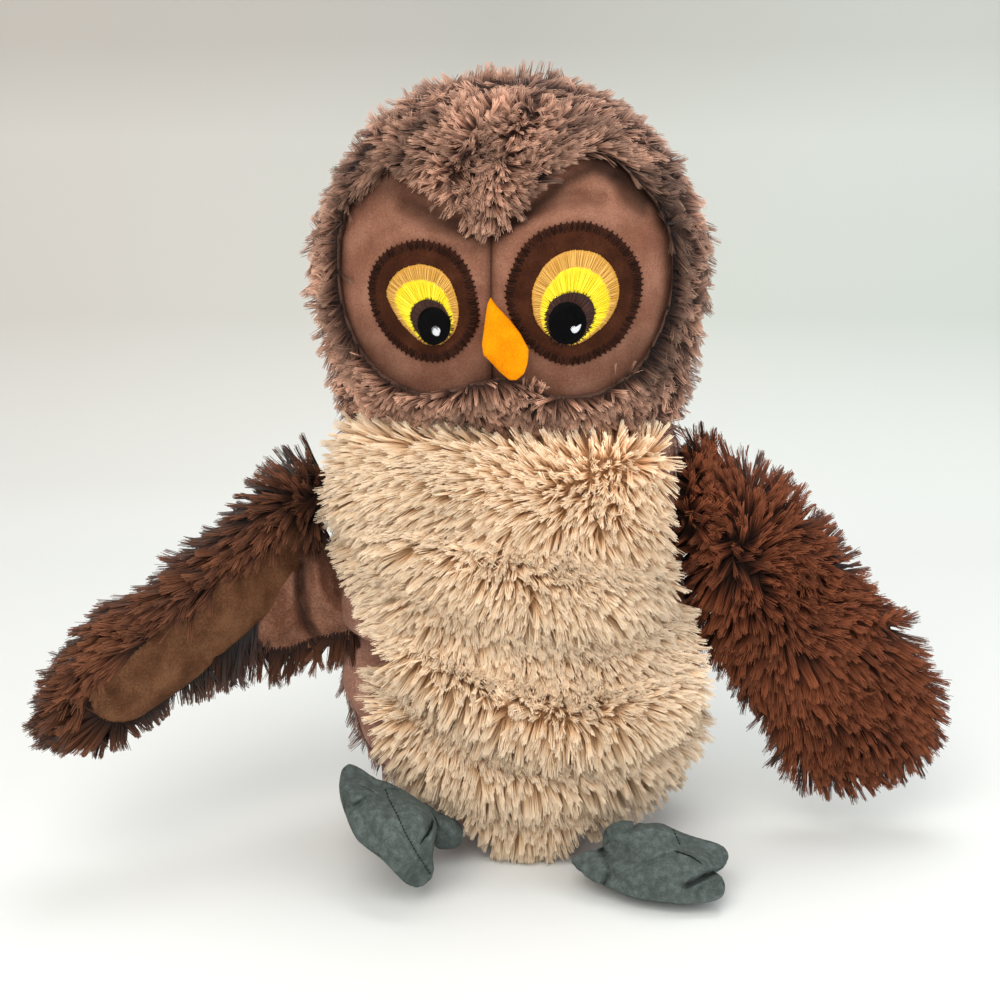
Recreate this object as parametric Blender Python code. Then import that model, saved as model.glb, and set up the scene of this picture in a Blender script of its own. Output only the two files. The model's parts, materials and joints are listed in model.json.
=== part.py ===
# A plush owl that sits with its wings held out: sewn covers, felt and thread eyes, and the filling inside.
# Metres, +Z up. The owl faces -Y, and "left" and "right" are the owl's own, so left is at +X.
# The origin is on the surface that it sits on, under the middle of the body.

import math

import bmesh
import bpy
from mathutils import Matrix, Vector

# Gap that sewn pieces keep, because neighbouring solids may not share a face
GAP = 0.0003
FILLING_GAP = 0.0006  # between the body's filling and its folded cover

# Body: a bag with a flat seat, drawn in a little at the neck
BODY_HEIGHT = 0.166
BODY_WIDTH = 0.147
BODY_DEPTH = 0.110
BODY_LEAN = 0.012  # how far the neck stands to the owl's right of the seat
BODY_SHIFT = 0.0065  # the seat's own place, to the owl's left
BODY_COVER = 0.006  # backing and pile
BODY_SQUARENESS = 2.25
BELLY_SEAM_Y = -0.019  # where the belly panel meets the back cover
BELLY_FOLD = 0.0028  # how far the slack folds stand out
BELLY_FOLD_COUNT = 3.5
# share of the height, then shares of the half width and half depth
BODY_SHARES = (
    (0.00, 0.52, 0.70),
    (0.04, 0.66, 0.81),
    (0.11, 0.81, 0.91),
    (0.21, 0.93, 0.98),
    (0.34, 1.00, 1.00),
    (0.50, 1.00, 0.97),
    (0.66, 0.98, 0.93),
    (0.82, 0.95, 0.89),
    (1.00, 0.90, 0.83),
)

# Pellet pouch that weights the seat, and the filling above it
POUCH_LIFT = 0.003
POUCH_HEIGHT = 0.020
POUCH_INSET = 0.010
POUCH_SHARE_OF_BODY = 0.62

# Head: a rounder bag, flatter at the face
HEAD_HEIGHT = 0.126
HEAD_WIDTH = 0.150
HEAD_DEPTH = 0.130
HEAD_X = -0.0020
HEAD_TURN = math.radians(-6)
HEAD_COVER = 0.006
FACE_SQUARENESS = 2.3
HEAD_SHARES = (
    (0.000, 0.870, 0.840),
    (0.080, 0.890, 0.880),
    (0.200, 0.930, 0.930),
    (0.350, 0.985, 0.985),
    (0.460, 1.000, 1.000),
    (0.560, 0.975, 0.985),
    (0.660, 0.910, 0.930),
    (0.760, 0.815, 0.840),
    (0.850, 0.690, 0.720),
    (0.925, 0.525, 0.550),
    (0.975, 0.320, 0.340),
    (0.996, 0.130, 0.140),
)

# Face: two velour panels in an opening of the hood, sewn along a seam down the middle
FACE_WIDTH = 0.122
FACE_HEIGHT = 0.083
FACE_BASE = 0.015  # above the neck
FACE_PANEL = 0.0015
FACE_SEAM_X = -0.0015
FACE_BACK_Y = -0.012  # the opening's sides reach back to here
# The opening, from the brow's low point anticlockwise seen from the front: shares of half width and height
FACE_OUTLINE_SHARES = (
    (-0.06, 0.70),
    (-0.24, 0.84),
    (-0.42, 0.94),
    (-0.64, 0.95),
    (-0.84, 0.87),
    (-0.93, 0.68),
    (-0.94, 0.44),
    (-0.87, 0.24),
    (-0.70, 0.08),
    (-0.42, 0.00),
    (-0.14, 0.05),
    (0.06, 0.08),
    (0.28, 0.01),
    (0.54, 0.00),
    (0.80, 0.10),
    (0.96, 0.30),
    (1.01, 0.54),
    (0.94, 0.75),
    (0.80, 0.88),
    (0.62, 1.00),
    (0.40, 0.99),
    (0.20, 0.86),
)

# Eyes: a felt patch, two rings of gold and yellow thread, and a thread pupil that looks down
PATCH_THICK = 0.0012
THREAD_THICK = 0.0005
# Each layer's half size, then how far it lies towards the beak, to the owl's left and down
EYE_LAYER_SHARES = {
    "patch": (1.00, 1.00, 0.00, 0.00, 0.00),
    "iris_gold": (0.65, 0.66, 0.00, 0.00, 0.05),
    "iris_yellow": (0.55, 0.53, 0.00, 0.00, 0.15),
    "pupil_ring": (0.37, 0.38, 0.10, 0.00, 0.34),
    "pupil": (0.30, 0.305, 0.15, 0.00, 0.42),
    "glint": (0.078, 0.078, 0.13, 0.14, 0.487),
}
EYE_LAYER_POINTS = {
    "patch": (28, 3),
    "iris_gold": (24, 3),
    "iris_yellow": (24, 3),
    "pupil_ring": (20, 2),
    "pupil": (18, 2),
    "glint": (10, 1),
}
LEFT_EYE_X, LEFT_EYE_Z = 0.0272, 0.0502
LEFT_EYE_HALF_WIDTH, LEFT_EYE_HALF_HEIGHT = 0.0238, 0.0248
RIGHT_EYE_X, RIGHT_EYE_Z = -0.0257, 0.0476
RIGHT_EYE_HALF_WIDTH, RIGHT_EYE_HALF_HEIGHT = 0.0195, 0.0208

# Beak: a kite of felt, creased down the middle
BEAK_TOP_X = -0.0008
BEAK_TOP_Z = 0.0508
BEAK_LENGTH = 0.0293
BEAK_WIDTH = 0.0160
BEAK_THICK = 0.0022
BEAK_CREASE = 0.0030
BEAK_LEAN = math.radians(17)  # its tip points to the owl's left
BEAK_SHARES = (
    (0.00, 0.00),
    (0.20, 0.18),
    (0.42, 0.38),
    (0.61, 0.50),
    (0.79, 0.39),
    (0.94, 0.18),
    (1.00, 0.00),
)

# Wings: flat stuffed paddles, plush outside and velour inside, with a round root that turns on the body
WING_ROOT_RADIUS = 0.0205
WING_TIP_RADIUS = 0.0275
WING_SPAN = 0.094  # between the centres of the two
WING_BULGE = 0.0055  # how far the long edges bow out
WING_PLUSH_HEIGHT = 0.0145
WING_LINING_HEIGHT = 0.0095
WING_COVER = 0.005
WING_LINING = 0.0015
LEFT_SHOULDER_Z, LEFT_WING_DROOP = 0.131, math.radians(59)
RIGHT_SHOULDER_Z, RIGHT_WING_DROOP = 0.124, math.radians(42)
LEFT_WING_SWEEP, LEFT_WING_ROLL = math.radians(6), math.radians(-6)
RIGHT_WING_SWEEP, RIGHT_WING_ROLL = math.radians(30), math.radians(-28)

# Feet: velour mitts with two toes in front and one behind, each on a short leg
FOOT_LENGTH = 0.062
FOOT_WIDTH = 0.041
FOOT_UPPER_HEIGHT = 0.0140
FOOT_SOLE_HEIGHT = 0.0095
FOOT_COVER = 0.0013
FOOT_SHARES = (
    (-0.50, 0.00),
    (-0.46, 0.13),
    (-0.32, 0.18),
    (-0.17, 0.29),
    (0.00, 0.44),
    (0.22, 0.50),
    (0.41, 0.45),
    (0.50, 0.29),
    (0.46, 0.13),
    (0.36, 0.04),
    (0.33, 0.00),
)
LEG_RADIUS = 0.0095
LEG_END_SHARE = -0.17  # of the foot's length, from its middle towards the heel
ANKLE_SINK = 0.004  # how far the leg's lower end goes into the foot's outline before it is cut
LEFT_ANKLE_X, LEFT_ANKLE_Z = 0.033, 0.0165
RIGHT_ANKLE_X, RIGHT_ANKLE_Z = -0.020, 0.0175
LEFT_FOOT_X, LEFT_FOOT_Y = 0.0465, -0.0720
RIGHT_FOOT_X, RIGHT_FOOT_Y = -0.0475, -0.0680
LEFT_TOE_DIRECTION = Vector((0.96, -0.26, -0.10))
LEFT_FOOT_UP = Vector((0.06, -0.36, 0.93))
RIGHT_TOE_DIRECTION = Vector((0.42, -0.76, -0.48))
RIGHT_FOOT_UP = Vector((0.90, 0.12, 0.42))

# How finely round shapes are drawn
BODY_POINTS, BODY_RINGS = 28, 13
RING_CROWDING = 1.35  # a power: 1 spaces the body's rings evenly
HEAD_POINTS = 32
OUTLINE_STEPS = 2  # points between two named ones
WING_ARC_POINTS, WING_EDGE_POINTS = 8, 4
DOME_RINGS, INNER_DOME_RINGS = 5, 3
LEG_POINTS, LEG_CAP_RINGS = 14, 4
SHARP_ANGLE = math.radians(35)
OVERRUN = 0.05  # how far cutters pass what they cut
PROBE = 0.0005  # the step over which a surface's slope is measured


def clear_scene():
    for item in list(bpy.data.objects):
        bpy.data.objects.remove(item, do_unlink=True)


def cloth(name, colour, roughness):
    made = bpy.data.materials.new(name)
    made.use_nodes = True
    surface = made.node_tree.nodes["Principled BSDF"]
    surface.inputs["Base Color"].default_value = (*colour, 1.0)
    surface.inputs["Roughness"].default_value = roughness
    surface.inputs["Metallic"].default_value = 0.0
    return made


def pivot(name, place, turn=None):
    # An empty that carries the pieces that move together, with its origin on their joint
    empty = bpy.data.objects.new(name, None)
    bpy.context.scene.collection.objects.link(empty)
    empty.matrix_world = Matrix.Translation(place) @ (turn or Matrix.Identity(4))
    return empty


def add_object(name, shape, material=None, parent=None):
    mesh = bpy.data.meshes.new(name)
    shape.to_mesh(mesh)
    shape.free()
    mesh.shade_smooth()
    mesh.set_sharp_from_angle(angle=SHARP_ANGLE)
    made = bpy.data.objects.new(name, mesh)
    bpy.context.scene.collection.objects.link(made)
    made.parent = parent
    if material:
        mesh.materials.append(material)
    return made


def loft(name, rings, material=None, parent=None):
    # Skins the rings in turn. Each has as many points as the others, or only one, as at a crown.
    shape = bmesh.new()
    rows = [[shape.verts.new(point) for point in ring] for ring in rings]
    for low, high in zip(rows, rows[1:]):
        count = max(len(low), len(high))
        for i in range(count):
            j = (i + 1) % count
            corners = (low[i % len(low)], low[j % len(low)], high[j % len(high)], high[i % len(high)])
            shape.faces.new(dict.fromkeys(corners))
    if len(rows[0]) > 1:
        shape.faces.new(rows[0][::-1])
    if len(rows[-1]) > 1:
        shape.faces.new(rows[-1])
    return add_object(name, shape, material, parent)


def hide_cutter(cutter):
    cutter.hide_render = True
    cutter.display_type = "WIRE"


def cut(piece, cutter, operation="DIFFERENCE"):
    change = piece.modifiers.new(cutter.name, "BOOLEAN")
    change.operation = operation
    change.object = cutter
    change.solver = "EXACT"
    hide_cutter(cutter)


def block(name, low, high, parent=None):
    shape = bmesh.new()
    bmesh.ops.create_cube(shape, size=1)
    bmesh.ops.scale(shape, vec=high - low, verts=shape.verts)
    bmesh.ops.translate(shape, vec=(low + high) / 2, verts=shape.verts)
    return add_object(name, shape, parent=parent)


def along(shares, share):
    # The row of a table at this share of the height, on a smooth curve through the rows
    rows = list(shares)
    share = min(max(share, rows[0][0]), rows[-1][0])
    at = max(i for i, row in enumerate(rows[:-1]) if row[0] <= share)
    before, low, high, after = (rows[min(max(k, 0), len(rows) - 1)] for k in (at - 1, at, at + 1, at + 2))
    span = high[0] - low[0]
    t = (share - low[0]) / span
    found = []
    for column in range(1, len(low)):
        first = (high[column] - before[column]) / (high[0] - before[0])
        last = (after[column] - low[column]) / (after[0] - low[0])
        found.append(
            (2 * t**3 - 3 * t**2 + 1) * low[column]
            + (t**3 - 2 * t**2 + t) * span * first
            + (3 * t**2 - 2 * t**3) * high[column]
            + (t**3 - t**2) * span * last
        )
    return found


def powered(value, squareness):
    return math.copysign(abs(value) ** (2 / squareness), value)


# Body


def body_middle_x(z):
    return BODY_SHIFT - BODY_LEAN * z / BODY_HEIGHT


def body_point(z, angle, inset):
    share = z / BODY_HEIGHT
    width, depth = along(BODY_SHARES, share)
    across = powered(math.cos(angle), BODY_SQUARENESS)
    back = powered(math.sin(angle), BODY_SQUARENESS)
    half_width = width * BODY_WIDTH / 2 - inset
    half_depth = depth * BODY_DEPTH / 2 - inset
    fade = math.sin(math.pi * share) * max(-back, 0)
    fold = BELLY_FOLD * fade * math.sin(2 * math.pi * BELLY_FOLD_COUNT * share)
    return Vector((body_middle_x(z) + half_width * across, (half_depth + fold) * back, z))


def body_ring(z, inset):
    return [body_point(z, 2 * math.pi * i / BODY_POINTS, inset) for i in range(BODY_POINTS)]


def body_heights(low, high):
    # Closer together near the seat, where the body rounds under
    return [low + (high - low) * (i / BODY_RINGS) ** RING_CROWDING for i in range(BODY_RINGS + 1)]


def make_body(belly_plush, mottled_plush, fibre, pouch_cloth):
    top = BODY_HEIGHT - GAP / 2
    outer = [body_ring(z, 0) for z in body_heights(0, top)]
    inner = [body_ring(z, BODY_COVER) for z in body_heights(BODY_COVER, top)]
    reach = BODY_WIDTH + OVERRUN
    for name, material, low_y, high_y in (
        ("belly_panel", belly_plush, -reach, BELLY_SEAM_Y - GAP / 2),
        ("back_cover", mottled_plush, BELLY_SEAM_Y + GAP / 2, reach),
    ):
        cover = loft(name, outer + inner[::-1], material)
        low = Vector((-reach, low_y, -OVERRUN))
        high = Vector((reach, high_y, BODY_HEIGHT + OVERRUN))
        cut(cover, block(name + "_side", low, high), "INTERSECT")

    floor = BODY_COVER + POUCH_LIFT + POUCH_HEIGHT
    heights = [z for z in body_heights(BODY_COVER, top) if z > floor]
    loft("body_filling", [body_ring(z, BODY_COVER + FILLING_GAP) for z in heights], fibre)

    low = BODY_COVER + GAP
    middle = (low + floor) / 2
    pouch = []
    for z, share in ((low, POUCH_SHARE_OF_BODY), (middle, 1), (floor, POUCH_SHARE_OF_BODY)):
        ring = body_ring(middle, BODY_COVER + GAP + POUCH_INSET)
        centre = Vector((body_middle_x(middle), 0, middle))
        pouch.append([Vector((*(centre + (p - centre) * share).xy, z)) for p in ring])
    loft("pellet_pouch", pouch, pouch_cloth)


# Head, in its own frame: origin in the middle of the neck, facing -Y


def head_half_sizes(z, inset):
    height = HEAD_HEIGHT - inset
    width, depth = along(HEAD_SHARES, z / height)
    return width * HEAD_WIDTH / 2 - inset, depth * HEAD_DEPTH / 2 - inset


def head_ring(z, inset):
    half_width, half_depth = head_half_sizes(z, inset)
    ring = []
    for i in range(HEAD_POINTS):
        angle = 2 * math.pi * i / HEAD_POINTS
        squareness = FACE_SQUARENESS if math.sin(angle) < 0 else 2
        across = powered(math.cos(angle), squareness)
        back = powered(math.sin(angle), squareness)
        ring.append(Vector((half_width * across, half_depth * back, z)))
    return ring


def head_rings(inset):
    # From the neck up, and the crown's own point last
    height = HEAD_HEIGHT - inset
    rings = [head_ring(row[0] * height, inset) for row in HEAD_SHARES]
    rings[0] = head_ring(GAP / 2, inset)
    return rings + [[Vector((0, 0, height))]]


def face_y(x, z, inset):
    half_width, half_depth = head_half_sizes(z, inset)
    near = max(1 - abs(x / half_width) ** FACE_SQUARENESS, 0)
    return -half_depth * near ** (1 / FACE_SQUARENESS)


def smooth_outline(corners):
    # A closed curve through the corners, with OUTLINE_STEPS points to each
    found = []
    count = len(corners)
    for i in range(count):
        before, low, high, after = (corners[(i + k) % count] for k in (-1, 0, 1, 2))
        for step in range(OUTLINE_STEPS):
            t = step / OUTLINE_STEPS
            found.append(
                0.5
                * (
                    2 * low
                    + (high - before) * t
                    + (2 * before - 5 * low + 4 * high - after) * t**2
                    + (3 * low - before - 3 * high + after) * t**3
                )
            )
    return found


def inset_outline(outline, distance):
    # Each point of an anticlockwise outline moved inwards
    moved = []
    for i, point in enumerate(outline):
        along_edge = outline[(i + 1) % len(outline)] - outline[i - 1]
        inwards = Vector((-along_edge.y, along_edge.x)).normalized()
        moved.append(point + inwards * distance)
    return moved


def face_prism(name, inset, parent):
    corners = [Vector((x * FACE_WIDTH / 2, FACE_BASE + z * FACE_HEIGHT)) for x, z in FACE_OUTLINE_SHARES]
    outline = inset_outline(smooth_outline(corners), inset)
    front = [Vector((p.x, -HEAD_DEPTH, p.y)) for p in outline]
    back = [Vector((p.x, FACE_BACK_Y, p.y)) for p in outline]
    return loft(name, [back, front], parent=parent)


def make_head(mottled_plush, face_velour, fibre, neck):
    outer = head_rings(0)
    inner = head_rings(HEAD_COVER)
    hood = loft("head_hood", inner[::-1] + outer, mottled_plush, neck)
    cut(hood, face_prism("face_opening", 0, neck))

    panel_front = head_rings(HEAD_COVER - FACE_PANEL)
    for name, side in (("left_face_panel", 1), ("right_face_panel", -1)):
        panel = loft(name, inner[::-1] + panel_front, face_velour, neck)
        cut(panel, face_prism(name + "_outline", GAP, neck), "INTERSECT")
        seam = FACE_SEAM_X + side * GAP / 2
        ends = sorted((seam, side * (HEAD_WIDTH + OVERRUN)))
        low = Vector((ends[0], -HEAD_DEPTH - OVERRUN, -OVERRUN))
        high = Vector((ends[1], OVERRUN, HEAD_HEIGHT + OVERRUN))
        cut(panel, block(name + "_half", low, high, neck), "INTERSECT")

    loft("head_filling", head_rings(HEAD_COVER + GAP), fibre, neck)


def face_disc(name, middle, half_sizes, inset, thick, counts, material, neck):
    # A disc that follows the face, its back this far inside the hood's own surface
    points, rings = counts

    def layer(share, depth):
        ring = []
        for i in range(points):
            angle = 2 * math.pi * i / points
            x = middle[0] + half_sizes[0] * share * math.cos(angle)
            z = middle[1] + half_sizes[1] * share * math.sin(angle)
            ring.append(Vector((x, face_y(x, z, depth), z)))
        return ring

    def centre(depth):
        return [Vector((middle[0], face_y(*middle, depth), middle[1]))]

    back = [centre(inset)] + [layer((k + 1) / rings, inset) for k in range(rings)]
    front = [layer(1 - k / rings, inset - thick) for k in range(rings)] + [centre(inset - thick)]
    return loft(name, back + front, material, neck)


def make_eye(side_name, side, middle, half_width, half_height, cloths, neck):
    inset = HEAD_COVER - FACE_PANEL - GAP
    for (name, shares), material in zip(EYE_LAYER_SHARES.items(), cloths):
        width, height, towards_beak, leftwards, down = shares
        thick = PATCH_THICK if name == "patch" else THREAD_THICK
        across = (leftwards - side * towards_beak) * half_width
        place = (middle[0] + across, middle[1] - down * half_height)
        size = (width * half_width, height * half_height)
        counts = EYE_LAYER_POINTS[name]
        face_disc(f"{side_name}_eye_{name}", place, size, inset, thick, counts, material, neck)
        inset -= thick + GAP


def make_beak(felt, neck):
    # Hangs from the seam just above the patches, its back flat and its front creased
    top_y = face_y(BEAK_TOP_X, BEAK_TOP_Z, HEAD_COVER - FACE_PANEL - GAP)
    down = Vector((math.sin(BEAK_LEAN), 0, -math.cos(BEAK_LEAN)))
    across = Vector((math.cos(BEAK_LEAN), 0, math.sin(BEAK_LEAN)))
    eye_front = (PATCH_THICK + GAP) * Vector((0, -1, 0))
    top = Vector((BEAK_TOP_X, top_y, BEAK_TOP_Z)) + eye_front

    def rim(depth):
        # Down one side to the tip and up the other
        sides = [(u, -v) for u, v in BEAK_SHARES] + list(BEAK_SHARES[-2:0:-1])
        return [top + down * u * BEAK_LENGTH + across * v * BEAK_WIDTH + depth for u, v in sides]

    forward = Vector((0, -1, 0))
    middle = top + down * BEAK_LENGTH / 2
    back = rim(Vector())
    front = rim(forward * BEAK_THICK)
    ridge = [middle + (p - middle) / 2 + forward * BEAK_CREASE for p in front]
    peak = [middle + forward * (BEAK_THICK + BEAK_CREASE)]
    loft("beak", [back, front, ridge, peak], felt, neck)


# Pillows, in the frame of a wing or a foot: X along it, Y across it and Z out of its seam


def dome(outline, centre, height, side, rings):
    # Rings from the seam to the crown, where the last ring is one point
    seam = side * GAP / 2
    found = []
    for k in range(rings):
        turn = math.pi / 2 * k / rings
        share, rise = math.cos(turn), height * math.sin(turn)
        found.append([Vector((*(centre + (p - centre) * share), seam + side * rise)) for p in outline])
    return found + [[Vector((*centre, seam + side * height))]]


def half_cover(name, outline, centre, height, wall, side, material, parent):
    # One sewn half: a bowl of cloth that stops at the seam
    outer = dome(outline, centre, height, side, DOME_RINGS)
    inner = dome(inset_outline(outline, wall), centre, height - wall, side, INNER_DOME_RINGS)
    rings = outer[::-1] + inner if side < 0 else inner[::-1] + outer
    return loft(name, rings, material, parent)


def pillow(name, outline, centre, top, bottom, rings, material, parent):
    upper = dome(outline, centre, top, 1, rings)
    lower = dome(outline, centre, bottom, -1, rings)
    return loft(name, lower[::-1] + upper[1:], material, parent)


def wing_outline():
    # Round the root, along to the rounder tip and back
    lean = math.asin((WING_TIP_RADIUS - WING_ROOT_RADIUS) / WING_SPAN)
    found = []
    for centre_x, radius, start, end in (
        (WING_SPAN, WING_TIP_RADIUS, -math.pi / 2 - lean, math.pi / 2 + lean),
        (0, WING_ROOT_RADIUS, math.pi / 2 + lean, 3 * math.pi / 2 - lean),
    ):
        for i in range(WING_ARC_POINTS + 1):
            angle = start + (end - start) * i / WING_ARC_POINTS
            found.append(Vector((centre_x + radius * math.cos(angle), radius * math.sin(angle))))
    tip, root = found[: WING_ARC_POINTS + 1], found[WING_ARC_POINTS + 1 :]
    return tip + bowed_edge(tip[-1], root[0]) + root + bowed_edge(root[-1], tip[0])


def bowed_edge(start, end):
    # Points between the two, each moved out of an anticlockwise outline
    run = end - start
    outwards = Vector((run.y, -run.x)).normalized()
    shares = [k / WING_EDGE_POINTS for k in range(1, WING_EDGE_POINTS)]
    return [start + run * k + outwards * WING_BULGE * math.sin(math.pi * k) for k in shares]


def wing_turn(side, droop, sweep, roll):
    # The wing's frame: along it, across it and out of its plush side
    level = math.cos(sweep)
    lengthwise = Vector((side * math.cos(droop) * level, -math.sin(sweep), -math.sin(droop) * level))
    plush_side = Vector((0, -side, 0))
    plush_side -= lengthwise * plush_side.dot(lengthwise)
    plush_side.normalize()
    plush_side = Matrix.Rotation(roll, 3, lengthwise) @ plush_side
    across = plush_side.cross(lengthwise)
    return Matrix((lengthwise, across, plush_side)).transposed().to_4x4()


def shoulder(side, z, turn):
    # The centre of a wing's round root, which just clears the body's side as the wing turns in its plane
    angle = 0 if side > 0 else math.pi
    seat = body_point(z, angle, 0)
    rise = body_point(z + PROBE, angle, 0) - seat
    outwards = (side * Vector((rise.z, 0, -rise.x))).normalized()
    plush_side = turn.col[2].to_3d()
    in_plane = (outwards - plush_side * outwards.dot(plush_side)).normalized()
    return seat + outwards * GAP + in_plane * WING_ROOT_RADIUS


def make_wing(name, side, shoulder_z, turn, plush, velour, fibre):
    hinge = pivot(name + "_hinge", shoulder(side, shoulder_z, turn), turn)
    outline = wing_outline()
    centre = Vector((WING_SPAN / 2, 0))
    half_cover(name + "_plush", outline, centre, WING_PLUSH_HEIGHT, WING_COVER, 1, plush, hinge)
    hem = inset_outline(outline, WING_COVER - WING_LINING)
    half_cover(name + "_lining", hem, centre, WING_LINING_HEIGHT, WING_LINING, -1, velour, hinge)
    wad = inset_outline(outline, WING_COVER + GAP)
    top = WING_PLUSH_HEIGHT - WING_COVER - GAP
    bottom = WING_LINING_HEIGHT - WING_LINING - GAP
    pillow(name + "_filling", wad, centre, top, bottom, INNER_DOME_RINGS, fibre, hinge)


# Feet


def foot_outline():
    upper = [Vector((u * FOOT_LENGTH, v * FOOT_WIDTH)) for u, v in FOOT_SHARES]
    lower = [Vector((p.x, -p.y)) for p in upper[-2:0:-1]]
    return smooth_outline((upper + lower)[::-1])


def foot_turn(toes, up):
    lengthwise = toes.normalized()
    upwards = (up - lengthwise * up.dot(lengthwise)).normalized()
    across = upwards.cross(lengthwise)
    return Matrix((lengthwise, across, upwards)).transposed()


def capsule(name, start, end, radius, material, parent):
    # A round bar with round ends
    axis = (end - start).normalized()
    turn = axis.to_track_quat("Z", "Y").to_matrix()
    rings = [[start - axis * radius]]
    for base, ends in ((start, range(1 - LEG_CAP_RINGS, 1)), (end, range(LEG_CAP_RINGS))):
        for k in ends:
            tilt = math.pi / 2 * k / LEG_CAP_RINGS
            middle = base + axis * radius * math.sin(tilt)
            circle = radius * math.cos(tilt)
            ring = []
            for i in range(LEG_POINTS):
                angle = 2 * math.pi * i / LEG_POINTS
                ring.append(middle + turn @ Vector((circle * math.cos(angle), circle * math.sin(angle), 0)))
            rings.append(ring)
    rings.append([end + axis * radius])
    return loft(name, rings, material, parent)


def body_front(x, z):
    # Where the body's front is at this place, found between its ring's points
    ring = [body_point(z, math.pi + math.pi * i / BODY_POINTS, 0) for i in range(BODY_POINTS + 1)]
    for low, high in zip(ring, ring[1:]):
        if low.x <= x <= high.x:
            return low.lerp(high, (x - low.x) / (high.x - low.x)).y
    return 0.0


def on_body_front(x, z, distance):
    # A place this far out from the body's front, square to it
    front = body_front(x, z)
    across = (body_front(x + PROBE, z) - front) / PROBE
    upwards = (body_front(x, z + PROBE) - front) / PROBE
    return Vector((x, front, z)) + Vector((across, -1, upwards)).normalized() * distance


def make_foot(name, ankle_x, ankle_z, foot_x, foot_y, toes, up, velour, fibre):
    ankle = on_body_front(ankle_x, ankle_z, LEG_RADIUS + GAP)
    hinge = pivot(name + "_ankle", ankle)
    turn = foot_turn(toes, up)
    outline = foot_outline()
    centre = Vector((0, 0))
    upper = dome(outline, centre, FOOT_UPPER_HEIGHT, 1, DOME_RINGS)
    lower = dome(outline, centre, FOOT_SOLE_HEIGHT, -1, DOME_RINGS)
    lowest = min((turn @ point).z for ring in upper + lower for point in ring)
    sole_place = Vector((foot_x, foot_y, -lowest))
    frame = pivot(name + "_frame", sole_place - ankle, turn.to_4x4())
    frame.parent = hinge

    half_cover(name + "_upper", outline, centre, FOOT_UPPER_HEIGHT, FOOT_COVER, 1, velour, frame)
    half_cover(name + "_sole", outline, centre, FOOT_SOLE_HEIGHT, FOOT_COVER, -1, velour, frame)
    wad = inset_outline(outline, FOOT_COVER + GAP)
    top = FOOT_UPPER_HEIGHT - FOOT_COVER - GAP
    bottom = FOOT_SOLE_HEIGHT - FOOT_COVER - GAP
    pillow(name + "_filling", wad, centre, top, bottom, INNER_DOME_RINGS, fibre, frame)

    # The leg runs from the ankle into the top of the foot, where the foot's outline cuts it
    end = Vector((LEG_END_SHARE * FOOT_LENGTH, 0, FOOT_UPPER_HEIGHT - ANKLE_SINK))
    crown = turn @ end + sole_place - ankle
    leg = capsule(name.replace("foot", "leg"), Vector(), crown, LEG_RADIUS, velour, hinge)
    grown = inset_outline(outline, -GAP)
    top, bottom = FOOT_UPPER_HEIGHT + GAP, FOOT_SOLE_HEIGHT + GAP
    cut(leg, pillow(name + "_clearance", grown, centre, top, bottom, DOME_RINGS, None, frame))


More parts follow.
